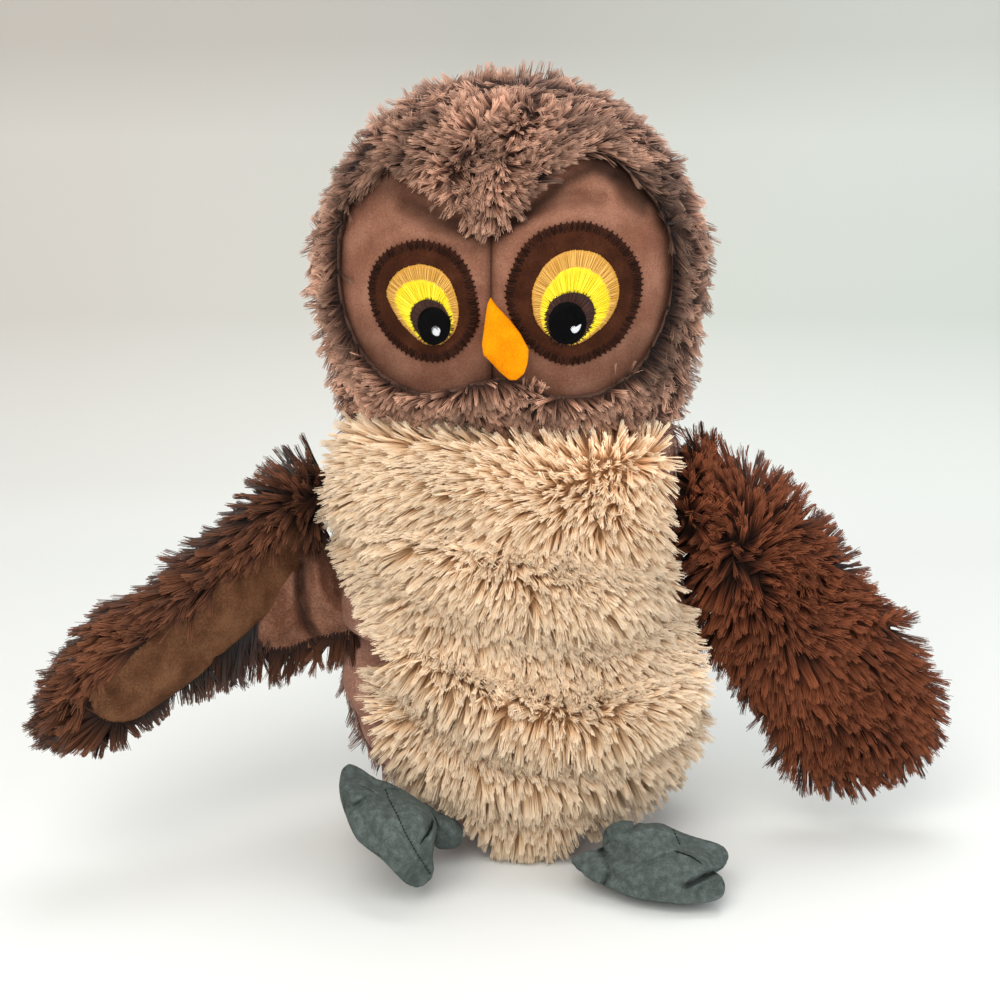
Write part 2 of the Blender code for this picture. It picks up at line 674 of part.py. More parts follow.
def main():
    clear_scene()
    mottled_plush = cloth("mottled_plush", (0.30, 0.19, 0.15), 0.95)
    belly_plush = cloth("belly_plush", (0.66, 0.47, 0.31), 0.95)
    wing_plush = cloth("wing_plush", (0.12, 0.05, 0.03), 0.95)
    wing_velour = cloth("wing_velour", (0.20, 0.11, 0.08), 0.9)
    face_velour = cloth("face_velour", (0.29, 0.15, 0.10), 0.9)
    eye_felt = cloth("eye_felt", (0.045, 0.018, 0.010), 0.95)
    gold_thread = cloth("gold_thread", (0.85, 0.50, 0.11), 0.5)
    yellow_thread = cloth("yellow_thread", (0.88, 0.70, 0.02), 0.5)
    brown_thread = cloth("brown_thread", (0.05, 0.018, 0.012), 0.5)
    black_thread = cloth("black_thread", (0.006, 0.006, 0.008), 0.45)
    white_thread = cloth("white_thread", (0.75, 0.77, 0.80), 0.45)
    beak_felt = cloth("beak_felt", (0.95, 0.38, 0.01), 0.95)
    foot_velour = cloth("foot_velour", (0.10, 0.13, 0.13), 0.9)
    fibre = cloth("polyester_fibre", (0.85, 0.85, 0.84), 1.0)
    pouch_cloth = cloth("pouch_cloth", (0.62, 0.60, 0.56), 0.9)

    make_body(belly_plush, mottled_plush, fibre, pouch_cloth)

    neck = pivot("neck_turn", Vector((HEAD_X, 0, BODY_HEIGHT)), Matrix.Rotation(HEAD_TURN, 4, "Z"))
    make_head(mottled_plush, face_velour, fibre, neck)
    eye_cloths = (eye_felt, gold_thread, yellow_thread, brown_thread, black_thread, white_thread)
    for name, side, middle, half_width, half_height in (
        ("left", 1, (LEFT_EYE_X, LEFT_EYE_Z), LEFT_EYE_HALF_WIDTH, LEFT_EYE_HALF_HEIGHT),
        ("right", -1, (RIGHT_EYE_X, RIGHT_EYE_Z), RIGHT_EYE_HALF_WIDTH, RIGHT_EYE_HALF_HEIGHT),
    ):
        make_eye(name, side, middle, half_width, half_height, eye_cloths, neck)
    make_beak(beak_felt, neck)

    left_turn = wing_turn(1, LEFT_WING_DROOP, LEFT_WING_SWEEP, LEFT_WING_ROLL)
    make_wing("left_wing", 1, LEFT_SHOULDER_Z, left_turn, wing_plush, wing_velour, fibre)
    right_turn = wing_turn(-1, RIGHT_WING_DROOP, RIGHT_WING_SWEEP, RIGHT_WING_ROLL)
    make_wing("right_wing", -1, RIGHT_SHOULDER_Z, right_turn, wing_plush, wing_velour, fibre)

    make_foot(
        "left_foot",
        LEFT_ANKLE_X,
        LEFT_ANKLE_Z,
        LEFT_FOOT_X,
        LEFT_FOOT_Y,
        LEFT_TOE_DIRECTION,
        LEFT_FOOT_UP,
        foot_velour,
        fibre,
    )
    make_foot(
        "right_foot",
        RIGHT_ANKLE_X,
        RIGHT_ANKLE_Z,
        RIGHT_FOOT_X,
        RIGHT_FOOT_Y,
        RIGHT_TOE_DIRECTION,
        RIGHT_FOOT_UP,
        foot_velour,
        fibre,
    )


main()
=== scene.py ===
import json
import math

import bmesh
import bpy
import numpy as np
from mathutils import Matrix, Vector
from mathutils.bvhtree import BVHTree
from mathutils.kdtree import KDTree

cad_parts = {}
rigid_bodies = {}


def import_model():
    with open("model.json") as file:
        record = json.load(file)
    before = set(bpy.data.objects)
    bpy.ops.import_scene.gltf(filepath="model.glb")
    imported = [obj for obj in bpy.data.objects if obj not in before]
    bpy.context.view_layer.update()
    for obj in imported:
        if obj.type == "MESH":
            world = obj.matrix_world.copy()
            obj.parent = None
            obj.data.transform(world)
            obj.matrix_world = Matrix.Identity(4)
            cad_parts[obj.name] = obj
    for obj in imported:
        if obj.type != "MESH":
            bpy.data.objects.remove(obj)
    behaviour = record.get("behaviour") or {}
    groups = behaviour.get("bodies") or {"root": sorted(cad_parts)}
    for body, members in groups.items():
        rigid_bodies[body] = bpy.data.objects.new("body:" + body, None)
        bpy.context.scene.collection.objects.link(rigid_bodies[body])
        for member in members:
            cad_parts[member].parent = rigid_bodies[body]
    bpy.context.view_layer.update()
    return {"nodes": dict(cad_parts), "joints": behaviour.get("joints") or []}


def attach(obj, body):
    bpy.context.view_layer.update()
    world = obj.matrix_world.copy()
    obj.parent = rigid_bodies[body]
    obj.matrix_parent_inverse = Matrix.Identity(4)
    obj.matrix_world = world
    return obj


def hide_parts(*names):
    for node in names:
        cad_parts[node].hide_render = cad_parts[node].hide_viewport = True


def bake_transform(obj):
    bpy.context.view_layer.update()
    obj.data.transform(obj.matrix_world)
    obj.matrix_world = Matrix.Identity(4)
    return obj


# A plush owl. Metres, +Z up, the owl faces -Y. Left and right are the owl's own, so left is at +X.
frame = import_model()
joints = {joint["name"]: joint for joint in frame["joints"]}
print("frame loaded")

mm = 0.001


# Tools


def pick(item):
    for other in bpy.context.view_layer.objects:
        other.select_set(other == item)
    bpy.context.view_layer.objects.active = item


def addModifier(item, kind, **settings):
    modifier = item.modifiers.new(kind.lower(), kind)
    for key, value in settings.items():
        setattr(modifier, key, value)
    return modifier


def applyModifiers(item):
    pick(item)
    for modifier in list(item.modifiers):
        bpy.ops.object.modifier_apply(modifier=modifier.name)


def newObject(name, mesh):
    item = bpy.data.objects.new(name, mesh)
    bpy.context.scene.collection.objects.link(item)
    return item


def ramp(value, low, high):
    # 0 up to low, 1 from high, and smooth between
    share = np.clip((value - low) / (high - low), 0, 1)
    return share * share * (3 - 2 * share)


def near(distance, width):
    # 1 at no distance, and fading over this width
    return np.exp(-((distance / width) ** 2))


def unit(vectors):
    return vectors / np.maximum(np.linalg.norm(vectors, axis=-1, keepdims=True), 1e-9)


def swirl(points, size, seed):
    # A smooth vector that wanders over about this size, the same on every run
    rng = np.random.default_rng(seed)
    total = np.zeros((len(points), 3))
    for wave in range(7):
        direction = unit(rng.normal(size=3)) * 2 * math.pi / (size * rng.uniform(0.6, 1.6))
        phase = points @ direction + rng.uniform(0, 2 * math.pi)
        total += np.sin(phase)[:, None] * rng.normal(size=3) * 0.45
    return total


def lineDistance(points, line):
    # How far flat points are from a polyline
    best = np.full(len(points), 1e9)
    for start, end in zip(line[:-1], line[1:]):
        start, end = np.array(start), np.array(end)
        along = end - start
        share = np.clip((points - start) @ along / (along @ along), 0, 1)
        gap = np.linalg.norm(points - start - share[:, None] * along, axis=1)
        best = np.minimum(best, gap)
    return best


def insideLine(points, outline):
    # Which flat points a closed outline holds
    inside = np.zeros(len(points), bool)
    for (x1, y1), (x2, y2) in zip(outline, np.roll(outline, -1, axis=0)):
        crosses = (y1 > points[:, 1]) != (y2 > points[:, 1])
        where = x1 + (points[:, 1] - y1) / (y2 - y1 + 1e-12) * (x2 - x1)
        inside ^= crosses & (points[:, 0] < where)
    return inside


def closed(loop):
    return np.vstack([loop, loop[:1]])


def lengthsAlong(line):
    return np.concatenate([[0], np.cumsum(np.linalg.norm(np.diff(line, axis=0), axis=1))])


def pointsAlong(line, marks):
    # The points of a line at these lengths along it
    lengths = lengthsAlong(line)
    return np.stack([np.interp(marks, lengths, line[:, k]) for k in range(line.shape[1])], 1)


def evenLoop(corners, count):
    # Evenly spaced points on a closed line with straight sides
    line = closed(corners)
    return pointsAlong(line, np.linspace(0, lengthsAlong(line)[-1], count, endpoint=False))


def smoothLoop(corners, count):
    # The same on a curve through the corners
    corners = np.array(corners, float)
    dense = []
    for before, low, high, after in zip(*(np.roll(corners, shift, 0) for shift in (1, 0, -1, -2))):
        for t in np.linspace(0, 1, 12, endpoint=False):
            bend = (2 * before - 5 * low + 4 * high - after) * t**2
            twist = (3 * low - before - 3 * high + after) * t**3
            dense.append(0.5 * (2 * low + (high - before) * t + bend + twist))
    return evenLoop(np.array(dense), count)


def meshOf(name, points, faces, material):
    # faces: groups of faces with the same number of corners
    mesh = bpy.data.meshes.new(name)
    points = np.asarray(points, np.float32)
    corners = np.concatenate([np.asarray(group, np.int32).ravel() for group in faces])
    sizes = np.concatenate([np.full(len(group), np.shape(group)[1], np.int32) for group in faces])
    mesh.vertices.add(len(points))
    mesh.vertices.foreach_set("co", points.ravel())
    mesh.loops.add(len(corners))
    mesh.loops.foreach_set("vertex_index", corners)
    mesh.polygons.add(len(sizes))
    mesh.polygons.foreach_set("loop_start", np.concatenate([[0], np.cumsum(sizes)[:-1]]).astype(np.int32))
    mesh.update(calc_edges=True)
    mesh.shade_smooth()
    mesh.materials.append(material)
    return newObject(name, mesh)


def bandFaces(rows, around, turned=False):
    # The quads between closed rows of points
    quads = [(r * around + i, r * around + (i + 1) % around, (r + 1) * around + (i + 1) % around, (r + 1) * around + i)
             for r in range(rows - 1) for i in range(around)]
    return [(a, d, c, b) for a, b, c, d in quads] if turned else quads


def repeated(faces, count, each):
    # The faces of one hair or stitch, for all of them in turn
    start = (np.arange(count) * each)[:, None, None]
    return [(np.array(group)[None] + start).reshape(-1, np.shape(group)[1]) for group in faces]


def faceOutwards(item):
    shape = bmesh.new()
    shape.from_mesh(item.data)
    bmesh.ops.recalc_face_normals(shape, faces=shape.faces)
    shape.to_mesh(item.data)
    shape.free()


def vertexValues(vertices, field):
    found = np.empty(len(vertices) * 3, np.float32)
    vertices.foreach_get(field, found)
    return found.reshape(-1, 3).astype(float)


def pointsOf(item):
    return vertexValues(item.data.vertices, "co")


def normalsOf(item):
    return vertexValues(item.data.vertex_normals, "vector")


def setPoints(item, points):
    item.data.vertices.foreach_set("co", np.asarray(points, np.float32).ravel())
    item.data.update()


def setHair(item, each, along, tone, shade):
    # What the pile and the threads are coloured by for each point of each hair, with the pile's painted light and shade
    colour = np.ones((len(tone), each, 4), np.float32)
    for channel, values in enumerate((along, tone, shade)):
        colour[:, :, channel] = values
    item.data.color_attributes.new("hair", "FLOAT_COLOR", "POINT").data.foreach_set("color", colour.ravel())


def setPaintedShade(item, flat, shades):
    # Painted shade on the velour at each point: each shade is a line, how wide and how dark
    painted_shade = np.ones(len(flat))
    for line, wide, dark in shades:
        painted_shade *= 1 - dark * near(lineDistance(flat, line), wide)
    item.data.attributes.new("painted_shade", "FLOAT", "POINT").data.foreach_set("value", painted_shade.astype(np.float32))


def intoFrame(points, place):
    # World points in a piece's own frame
    turn = np.array(place.to_3x3())
    return (np.asarray(points) - np.array(place.translation)) @ turn


def outOfFrame(points, place):
    turn = np.array(place.to_3x3())
    return np.asarray(points) @ turn.T + np.array(place.translation)


# Materials


def hexColour(code):
    # sRGB hex to the linear colour that shaders take
    parts = [int(code[k : k + 2], 16) / 255 for k in (1, 3, 5)]
    return (*((c / 12.92 if c < 0.04045 else ((c + 0.055) / 1.055) ** 2.4) for c in parts), 1.0)


def addNode(tree, kind, values=None, links=None, stops=(), **settings):
    node = tree.nodes.new(kind)
    for key, value in settings.items():
        setattr(node, key, value)
    for key, value in (values or {}).items():
        node.inputs[key].default_value = value
    for key, source in (links or {}).items():
        # A mix node has a socket of each name for every kind of value, and only one of them is in use
        sockets = [each for each in node.inputs if each.name == key and each.enabled]
        tree.links.new(source, sockets[0] if sockets else node.inputs[key])
    if stops:
        elements = node.color_ramp.elements
        while len(elements) < len(stops):
            elements.new(0.5)
        for element, (place, code) in zip(elements, stops):
            element.position, element.color = place, hexColour(code)
    return node


def outputOf(node):
    return next(each for each in node.outputs if each.enabled)


def newMaterial(name, roughness, specular, sheen=0.0, sheenTint="#FFFFFF", sheenRoughness=0.5):
    material = bpy.data.materials.new(name)
    material.use_nodes = True
    surface = material.node_tree.nodes["Principled BSDF"]
    finish = {"Roughness": roughness, "Specular IOR Level": specular, "Sheen Weight": sheen,
              "Sheen Tint": hexColour(sheenTint), "Sheen Roughness": sheenRoughness}
    for key, value in finish.items():
        surface.inputs[key].default_value = value
    return material, material.node_tree, surface


def hairParts(tree):
    # The hairs' own attribute: how far along a hair a point is, a number for each lock or stitch, and the painted light
    # or shade on it
    hair = addNode(tree, "ShaderNodeAttribute", attribute_name="hair")
    return addNode(tree, "ShaderNodeSeparateColor", links={"Color": hair.outputs["Color"]}).outputs


def pileMaterial(name, stops, patchSize, patchTone, lockTone=0.35):
    # Dyed polyester pile: dark at the roots, where light doesn't reach, and pale at the tips
    material, tree, surface = newMaterial(name, 0.75, 0.2, 0.1)
    parts = hairParts(tree)
    along = addNode(tree, "ShaderNodeValToRGB", links={"Fac": parts["Red"]}, stops=stops)
    # Some locks are paler than their neighbours, as the dye takes unevenly
    lock = addNode(tree, "ShaderNodeMapRange", {"To Min": 1 - lockTone, "To Max": 1 + lockTone * 0.6},
                   {"Value": parts["Green"]})
    place = addNode(tree, "ShaderNodeTexCoord").outputs["Object"]
    patches = addNode(tree, "ShaderNodeTexNoise", {"Scale": 1 / patchSize, "Detail": 3.0}, {"Vector": place})
    patch = addNode(tree, "ShaderNodeMapRange",
                    {"From Min": 0.35, "From Max": 0.65, "To Min": 1 - patchTone, "To Max": 1 + patchTone},
                    {"Value": patches.outputs["Fac"]})
    # The tone: the lock's, the patches' and the hair's painted light and shade
    tone = lock.outputs[0]
    for other in (patch.outputs[0], parts["Blue"]):
        tone = addNode(tree, "ShaderNodeMath", links={0: tone, 1: other}, operation="MULTIPLY").outputs[0]
    colour = addNode(tree, "ShaderNodeVectorMath", links={0: along.outputs["Color"], "Scale": tone}, operation="SCALE")
    tree.links.new(colour.outputs[0], surface.inputs["Base Color"])
    return material


clothKinds = {
    # Polyester velour: a dense short nap. It is mottled where it was brushed, and pale where it is seen edge on.
    "velour": {"finish": (0.9, 0.12, 0.15), "sheenRoughness": 0.45, "fibres": {"Detail": 4.0, "Roughness": 0.65},
               "mix": 0.5, "spread": 0.12, "strength": 0.8},
    # Pressed felt: short fibres in all directions, with no weave and no gloss
    "felt": {"finish": (0.95, 0.1, 0.06), "sheenRoughness": 0.6,
             "fibres": {"Detail": 5.0, "Roughness": 0.7, "Distortion": 1.5}, "mix": 0.4, "spread": 0.14, "strength": 0.9},
}


def clothMaterial(name, kind, dark, middle, pale, fine, coarse, bump, shaded=False):
    # fine and coarse: the sizes of its fibres and of its mottling, in metres
    values = clothKinds[kind]
    material, tree, surface = newMaterial(name, *values["finish"], pale, values["sheenRoughness"])
    place = addNode(tree, "ShaderNodeTexCoord").outputs["Object"]
    fibres = addNode(tree, "ShaderNodeTexNoise", dict(values["fibres"], Scale=1 / fine), {"Vector": place})
    mottling = addNode(tree, "ShaderNodeTexNoise", {"Scale": 1 / coarse, "Detail": 2.0}, {"Vector": place})
    mixed = addNode(tree, "ShaderNodeMix", {"Factor": values["mix"]},
                    {"A": fibres.outputs["Fac"], "B": mottling.outputs["Fac"]}, data_type="FLOAT")
    stops = [(0.5 - values["spread"], dark), (0.5, middle), (0.5 + values["spread"], pale)]
    colour = addNode(tree, "ShaderNodeValToRGB", links={"Fac": outputOf(mixed)}, stops=stops)
    raised = addNode(tree, "ShaderNodeBump", {"Strength": values["strength"], "Distance": bump},
                     {"Height": fibres.outputs["Fac"]})
    if shaded:
        # Painted shade: the cloth is darker in its folds and under overhangs, as its own attribute says
        paintedShade = addNode(tree, "ShaderNodeAttribute", attribute_name="painted_shade")
        colour = addNode(tree, "ShaderNodeVectorMath", operation="SCALE",
                         links={0: colour.outputs["Color"], "Scale": paintedShade.outputs["Fac"]})
    tree.links.new(colour.outputs[0], surface.inputs["Base Color"])
    tree.links.new(raised.outputs["Normal"], surface.inputs["Normal"])
    return material


def threadMaterial(name, dark, pale, roughness=0.42, specular=0.25):
    # Rayon embroidery thread: smooth and bright, each stitch a little different in tone
    material, tree, surface = newMaterial(name, roughness, specular)
    colour = addNode(tree, "ShaderNodeValToRGB", links={"Fac": hairParts(tree)["Green"]}, stops=[(0.0, dark), (1.0, pale)])
    tree.links.new(colour.outputs["Color"], surface.inputs["Base Color"])
    return material


def pileStops(places, *codes):
    return list(zip(places, codes))


headPile = pileMaterial(
    "tippedShortPlush", pileStops((0.0, 0.3, 0.6, 1.0), "#22120C", "#56372A", "#9B6F5A", "#D8A98F"), 0.016, 0.30, 0.40)
bellyPile = pileMaterial(
    "longBeigePlush", pileStops((0.0, 0.3, 0.65, 1.0), "#B07E54", "#D9AD82", "#F3D0A9", "#FFE7C8"), 0.040, 0.05, 0.14)
# The wings' brown plush in two copies, painted light: each copy is coloured for the light on its own wing
leftWingPile, rightWingPile, backPile = (
    pileMaterial(name, pileStops((0.0, 0.35, 0.7, 1.0), *codes), patchSize, patchTone)
    for name, codes, patchSize, patchTone in (
        ("brownPlushLeftLight", ("#180A04", "#452210", "#6C371E", "#8A4E31"), 0.035, 0.14),
        ("brownPlushRightLight", ("#1C0E08", "#442617", "#623A25", "#794B33"), 0.035, 0.14),
        ("shortTaupePlush", ("#4A2C21", "#7D5445", "#A8806E", "#C49C88"), 0.030, 0.12)))
faceVelour = clothMaterial("faceVelour", "velour", "#764C3B", "#875C49", "#996D59", 0.0007, 0.012, 0.00012, shaded=True)
wingVelour = clothMaterial("wingVelour", "velour", "#4C301F", "#603F2A", "#755138", 0.0008, 0.010, 0.00012)
footVelour = clothMaterial("footVelour", "velour", "#444C49", "#505855", "#606A67", 0.0006, 0.0026, 0.0004)
# The gusset's velour, its colours darkened for the shade it hangs in: painted shade
gussetVelourInShade = clothMaterial("gussetVelourInShade", "velour", "#5C3B2C", "#775140", "#946C59", 0.0009, 0.012, 0.00012, shaded=True)
# The backings that the pile grows from, and the flanks' bare cloth
hoodBacking, flankVelour, bellyBacking, wingBacking = (
    clothMaterial(name, "velour", dark, middle, pale, 0.0009, 0.010, 0.00012) for name, dark, middle, pale in (
        ("plushBacking", "#38261F", "#4C362D", "#5F463B"), ("flankVelour", "#7C5749", "#946D5D", "#AA8472"),
        ("bellyPlushBacking", "#AC8862", "#C49F79", "#D6B48F"), ("wingPlushBacking", "#1C100B", "#2A1912", "#38231A")))
eyeFelt = clothMaterial("eyeFelt", "felt", "#2C140A", "#3B1E11", "#4C2A1A", 0.0009, 0.0081, 0.00015)
beakFelt = clothMaterial("beakFelt", "felt", "#CC7200", "#E68A00", "#F59C06", 0.0011, 0.0099, 0.00015)
goldThread = threadMaterial("goldThread", "#C08A34", "#E6B862")
yellowThread = threadMaterial("yellowThread", "#E2CB14", "#F9EC3C")
brownThread = threadMaterial("brownThread", "#2C1510", "#4A2A20")
blackThread = threadMaterial("blackThread", "#020203", "#08080A", 0.5, 0.06)
whiteThread = threadMaterial("whiteThread", "#CFD2D6", "#F2F4F6")
overcastThread = threadMaterial("overcastThread", "#1E0E08", "#3A2016", 0.8, 0.1)
seamThread = threadMaterial("seamThread", "#0C0D0E", "#1E2022", 0.5)
print("materials made")


# Camera, floor and lamps

cameraValues = {"place": (-0.006, -0.68470332, 0.27653818), "down": math.radians(12), "view": math.radians(31.13)}
bpy.ops.object.camera_add(location=cameraValues["place"], rotation=(math.pi / 2 - cameraValues["down"], 0, 0))
camera = bpy.context.object
camera.data.angle = cameraValues["view"]
camera.data.clip_start = 0.01
bpy.context.scene.camera = camera

# Places as the camera sees them, in thousandths of the frame from its top left
lookAlong = np.array((0, math.cos(cameraValues["down"]), -math.sin(cameraValues["down"])))
lookUp = np.array((0, math.sin(cameraValues["down"]), math.cos(cameraValues["down"])))
lens = 500 / math.tan(cameraValues["view"] / 2)


def seenAt(points):
    away = np.asarray(points) - np.array(cameraValues["place"])
    depth = away @ lookAlong
    return np.stack([500 + lens * away[:, 0] / depth, 500 - lens * (away @ lookUp) / depth], 1), depth


def placeSeen(seen, depth):
    across, up = (seen[:, 0] - 500) / lens, (500 - seen[:, 1]) / lens
    ray = lookAlong + up[:, None] * lookUp + across[:, None] * np.array((1.0, 0.0, 0.0))
    return np.array(cameraValues["place"]) + ray * np.asarray(depth)[..., None]


stageValues = {
    "front": -2.0, "bend": 0.45, "wall": 0.95, "height": 2.6, "half": 2.6, "steps": 24,
    # The paper's painted light and shade up the wall and at each side
    "warm": [(0.0, "#E9EBE9"), (0.05, "#DFDFDB"), (0.3, "#CBC8C1"), (0.65, "#CCC9C2"), (0.85, "#BDB8B1")],
    "cool": [(0.0, "#E9ECEA"), (0.05, "#E5E9E6"), (0.3, "#C8CFC8"), (0.65, "#CDD2CC"), (0.85, "#C1C4BE")],
    "middle": 0.84,
}


def makeStage():
    # A sheet of pale paper that curves up behind the toy
    values = stageValues
    across = np.linspace(-values["half"], values["half"], 5)
    radius = values["wall"] - values["bend"]
    profile = [(values["front"], 0.0)]
    profile += [(values["bend"] + radius * math.sin(a), radius * (1 - math.cos(a)))
                for a in np.linspace(0, math.pi / 2, values["steps"])]
    profile += [(values["wall"], values["height"])]
    width = len(across)
    faces = [(r * width + c, r * width + c + 1, (r + 1) * width + c + 1, (r + 1) * width + c)
             for r in range(len(profile) - 1) for c in range(width - 1)]
    # Painted light and shade on the paper: white on the table and greyer up the wall, warm at one side and cool at the
    # other, and darker high up in the middle
    material, tree, surface = newMaterial("palePaper", 0.9, 0.1)
    place = addNode(tree, "ShaderNodeTexCoord").outputs["Object"]
    parts = addNode(tree, "ShaderNodeSeparateXYZ", links={"Vector": place}).outputs
    aside = addNode(tree, "ShaderNodeMath", operation="ABSOLUTE", links={0: parts["X"]}).outputs[0]
    height, side, middleShade, high = (
        addNode(tree, "ShaderNodeMapRange", {"From Min": low, "From Max": top, "To Min": least}, {"Value": source}).outputs[0]
        for source, low, top, least in ((parts["Z"], 0.0, 0.40, 0.0), (parts["X"], -0.35, 0.35, 0.0),
                                        (aside, 0.0, 0.40, values["middle"]), (parts["Z"], 0.10, 0.40, 0.0)))
    warm, cool = (addNode(tree, "ShaderNodeValToRGB", links={"Fac": height}, stops=values[word]).outputs["Color"]
                  for word in ("warm", "cool"))
    colour = outputOf(addNode(tree, "ShaderNodeMix", links={"Factor": side, "A": warm, "B": cool}, data_type="RGBA"))
    shaded = addNode(tree, "ShaderNodeVectorMath", links={0: colour, "Scale": middleShade}, operation="SCALE").outputs[0]
    whole = addNode(tree, "ShaderNodeMix", links={"Factor": high, "A": colour, "B": shaded}, data_type="RGBA")
    tree.links.new(outputOf(whole), surface.inputs["Base Color"])
    meshOf("paper", [(x, y, z) for y, z in profile for x in across], [faces], material)


makeStage()

lampValues = [
    {"name": "keyLamp", "place": (-0.30, -1.0, 0.90), "size": 0.9, "power": 12.8, "colour": "#FFFAF4"},
    {"name": "fillLamp", "place": (0.9, -0.9, 0.6), "size": 1.0, "power": 5.5, "colour": "#F6F9FF"},
    {"name": "topLamp", "place": (0.1, 0.25, 1.2), "size": 0.8, "power": 6.0, "colour": "#FFFFFF"},
]
for values in lampValues:
    aim = Vector((0, 0, 0.14)) - Vector(values["place"])
    bpy.ops.object.light_add(type="AREA", location=values["place"], rotation=aim.to_track_quat("-Z", "Y").to_euler())
    lamp = bpy.context.object
    lamp.name = values["name"]
    lamp.data.size = values["size"]
    lamp.data.energy = values["power"]
    lamp.data.color = hexColour(values["colour"])[:3]

world = bpy.data.worlds.new("softRoom")
bpy.context.scene.world = world
world.use_nodes = True
world.node_tree.nodes["Background"].inputs["Color"].default_value = hexColour("#F4F5F6")
world.node_tree.nodes["Background"].inputs["Strength"].default_value = 0.60
bpy.context.scene.view_settings.view_transform = "Standard"
print("stage set")


# Stuffed forms: the sewn bags under the pile, blown up by their filling

clothFrames = 20


def meshFrom(shape, name):
    mesh = bpy.data.meshes.new(name)
    shape.to_mesh(mesh)
    shape.free()
    return newObject(name, mesh)


def joinedCopy(name, nodes):
    shape = bmesh.new()
    for node in nodes:
        shape.from_mesh(frame["nodes"][node].data)
    bmesh.ops.remove_doubles(shape, verts=shape.verts, dist=1e-6)
    return meshFrom(shape, name)


def keepLargest(item):
    # Remeshing joined solids can leave closed pockets inside, which nobody sees
    shape = bmesh.new()
    shape.from_mesh(item.data)
    left, groups = set(shape.verts), []
    while left:
        found, edge = set(), [left.pop()]
        while edge:
            vertex = edge.pop()
            found.add(vertex)
            for link in vertex.link_edges:
                other = link.other_vert(vertex)
                if other in left:
                    left.remove(other)
                    edge.append(other)
        groups.append(found)
    biggest = max(groups, key=len)
    bmesh.ops.delete(shape, geom=[v for v in shape.verts if v not in biggest], context="VERTS")
    shape.to_mesh(item.data)
    shape.free()


def stuffForm(name, nodes, values):
    # The filling presses the cloth out, and the movement of each point is capped
    item = joinedCopy(name, nodes)
    addModifier(item, "REMESH", mode="VOXEL", voxel_size=values["voxel"])
    applyModifiers(item)
    keepLargest(item)
    addModifier(item, "SMOOTH", factor=0.5, iterations=values["smoothing"])
    addModifier(item, "DISPLACE", strength=-values["shrink"], mid_level=0)
    applyModifiers(item)
    start = pointsOf(item)
    cloth = addModifier(item, "CLOTH")
    settings = {"quality": 5, "use_pressure": True, "uniform_pressure_force": values["pressure"],
                "tension_stiffness": values["stiffness"], "compression_stiffness": values["stiffness"]}
    for key, value in settings.items():
        setattr(cloth.settings, key, value)
    cloth.settings.effector_weights.gravity = 0
    scene = bpy.context.scene
    for step in range(1, clothFrames + 1):
        scene.frame_set(step)
    shown = item.evaluated_get(bpy.context.evaluated_depsgraph_get())
    moved = pointsOf(shown) - start
    item.modifiers.remove(cloth)
    scene.frame_set(1)
    reach = np.linalg.norm(moved, axis=1, keepdims=True)
    print(name, "moved by up to", round(float(reach.max()) / mm, 2), "mm")
    moved *= np.minimum(1, values["cap"] / np.maximum(reach, 1e-9))
    setPoints(item, start + moved)
    addModifier(item, "SUBSURF", levels=1, render_levels=1)
    applyModifiers(item)
    item.data.shade_smooth()
    return item


def partOf(form, name, keep, material, wall):
    # The faces of a form that keep() names by their centres and normals, as a piece with a wall
    shape = bmesh.new()
    shape.from_mesh(form.data)
    centres = np.array([face.calc_center_median() for face in shape.faces])
    normals = np.array([face.normal for face in shape.faces])
    kept = keep(centres, normals)
    bmesh.ops.delete(shape, geom=[face for face, stays in zip(list(shape.faces), kept) if not stays], context="FACES")
    item = meshFrom(shape, name)
    item.data.shade_smooth()
    item.data.materials.append(material)
    addModifier(item, "SOLIDIFY", thickness=wall, offset=-1)
    applyModifiers(item)
    return item


# Pile: locks of hair rooted on a form

hairSteps = 6
floorGap = 0.6 * mm


def scatter(form, count, keep, rng):
    # Roots spread evenly over the faces that keep() gives a share of more than 0
    mesh = form.data
    mesh.calc_loop_triangles()
    triangles = np.empty(len(mesh.loop_triangles) * 3, np.int32)
    mesh.loop_triangles.foreach_get("vertices", triangles)
    triangles = triangles.reshape(-1, 3)
    points, normals = pointsOf(form), normalsOf(form)
    a, b, c = (points[triangles[:, k]] for k in range(3))
    cross = np.cross(b - a, c - a)
    share = keep((a + b + c) / 3, unit(cross))
    weight = np.linalg.norm(cross, axis=1) * share
    total = np.cumsum(weight)
    marks = (np.arange(count) + rng.random(count)) / count * total[-1]
    chosen = np.minimum(np.searchsorted(total, marks), len(triangles) - 1)
    u, v = rng.random(count), rng.random(count)
    flip = u + v > 1
    u[flip], v[flip] = 1 - u[flip], 1 - v[flip]
    rootOf = lambda rows: (rows[0][chosen] * (1 - u - v)[:, None] + rows[1][chosen] * u[:, None] + rows[2][chosen] * v[:, None])
    roots = rootOf((a, b, c))
    outwards = unit(rootOf([normals[triangles[:, k]] for k in range(3)]))
    return roots, outwards


def combField(flat, anchors, reach):
    # Which way the pile lies over a plane, spread from listed places: (x, z, to x, to z) in millimetres
    anchors = np.array(anchors, float)
    gap = np.linalg.norm(flat[:, None] - anchors[None, :, :2] * mm, axis=2)
    # Far from every anchor the nearest ones still count
    weight = np.exp(-((gap / reach) ** 2)) + 1e-6 / (1 + (gap / reach) ** 4)
    return (weight / weight.sum(1, keepdims=True)) @ anchors[:, 2:]


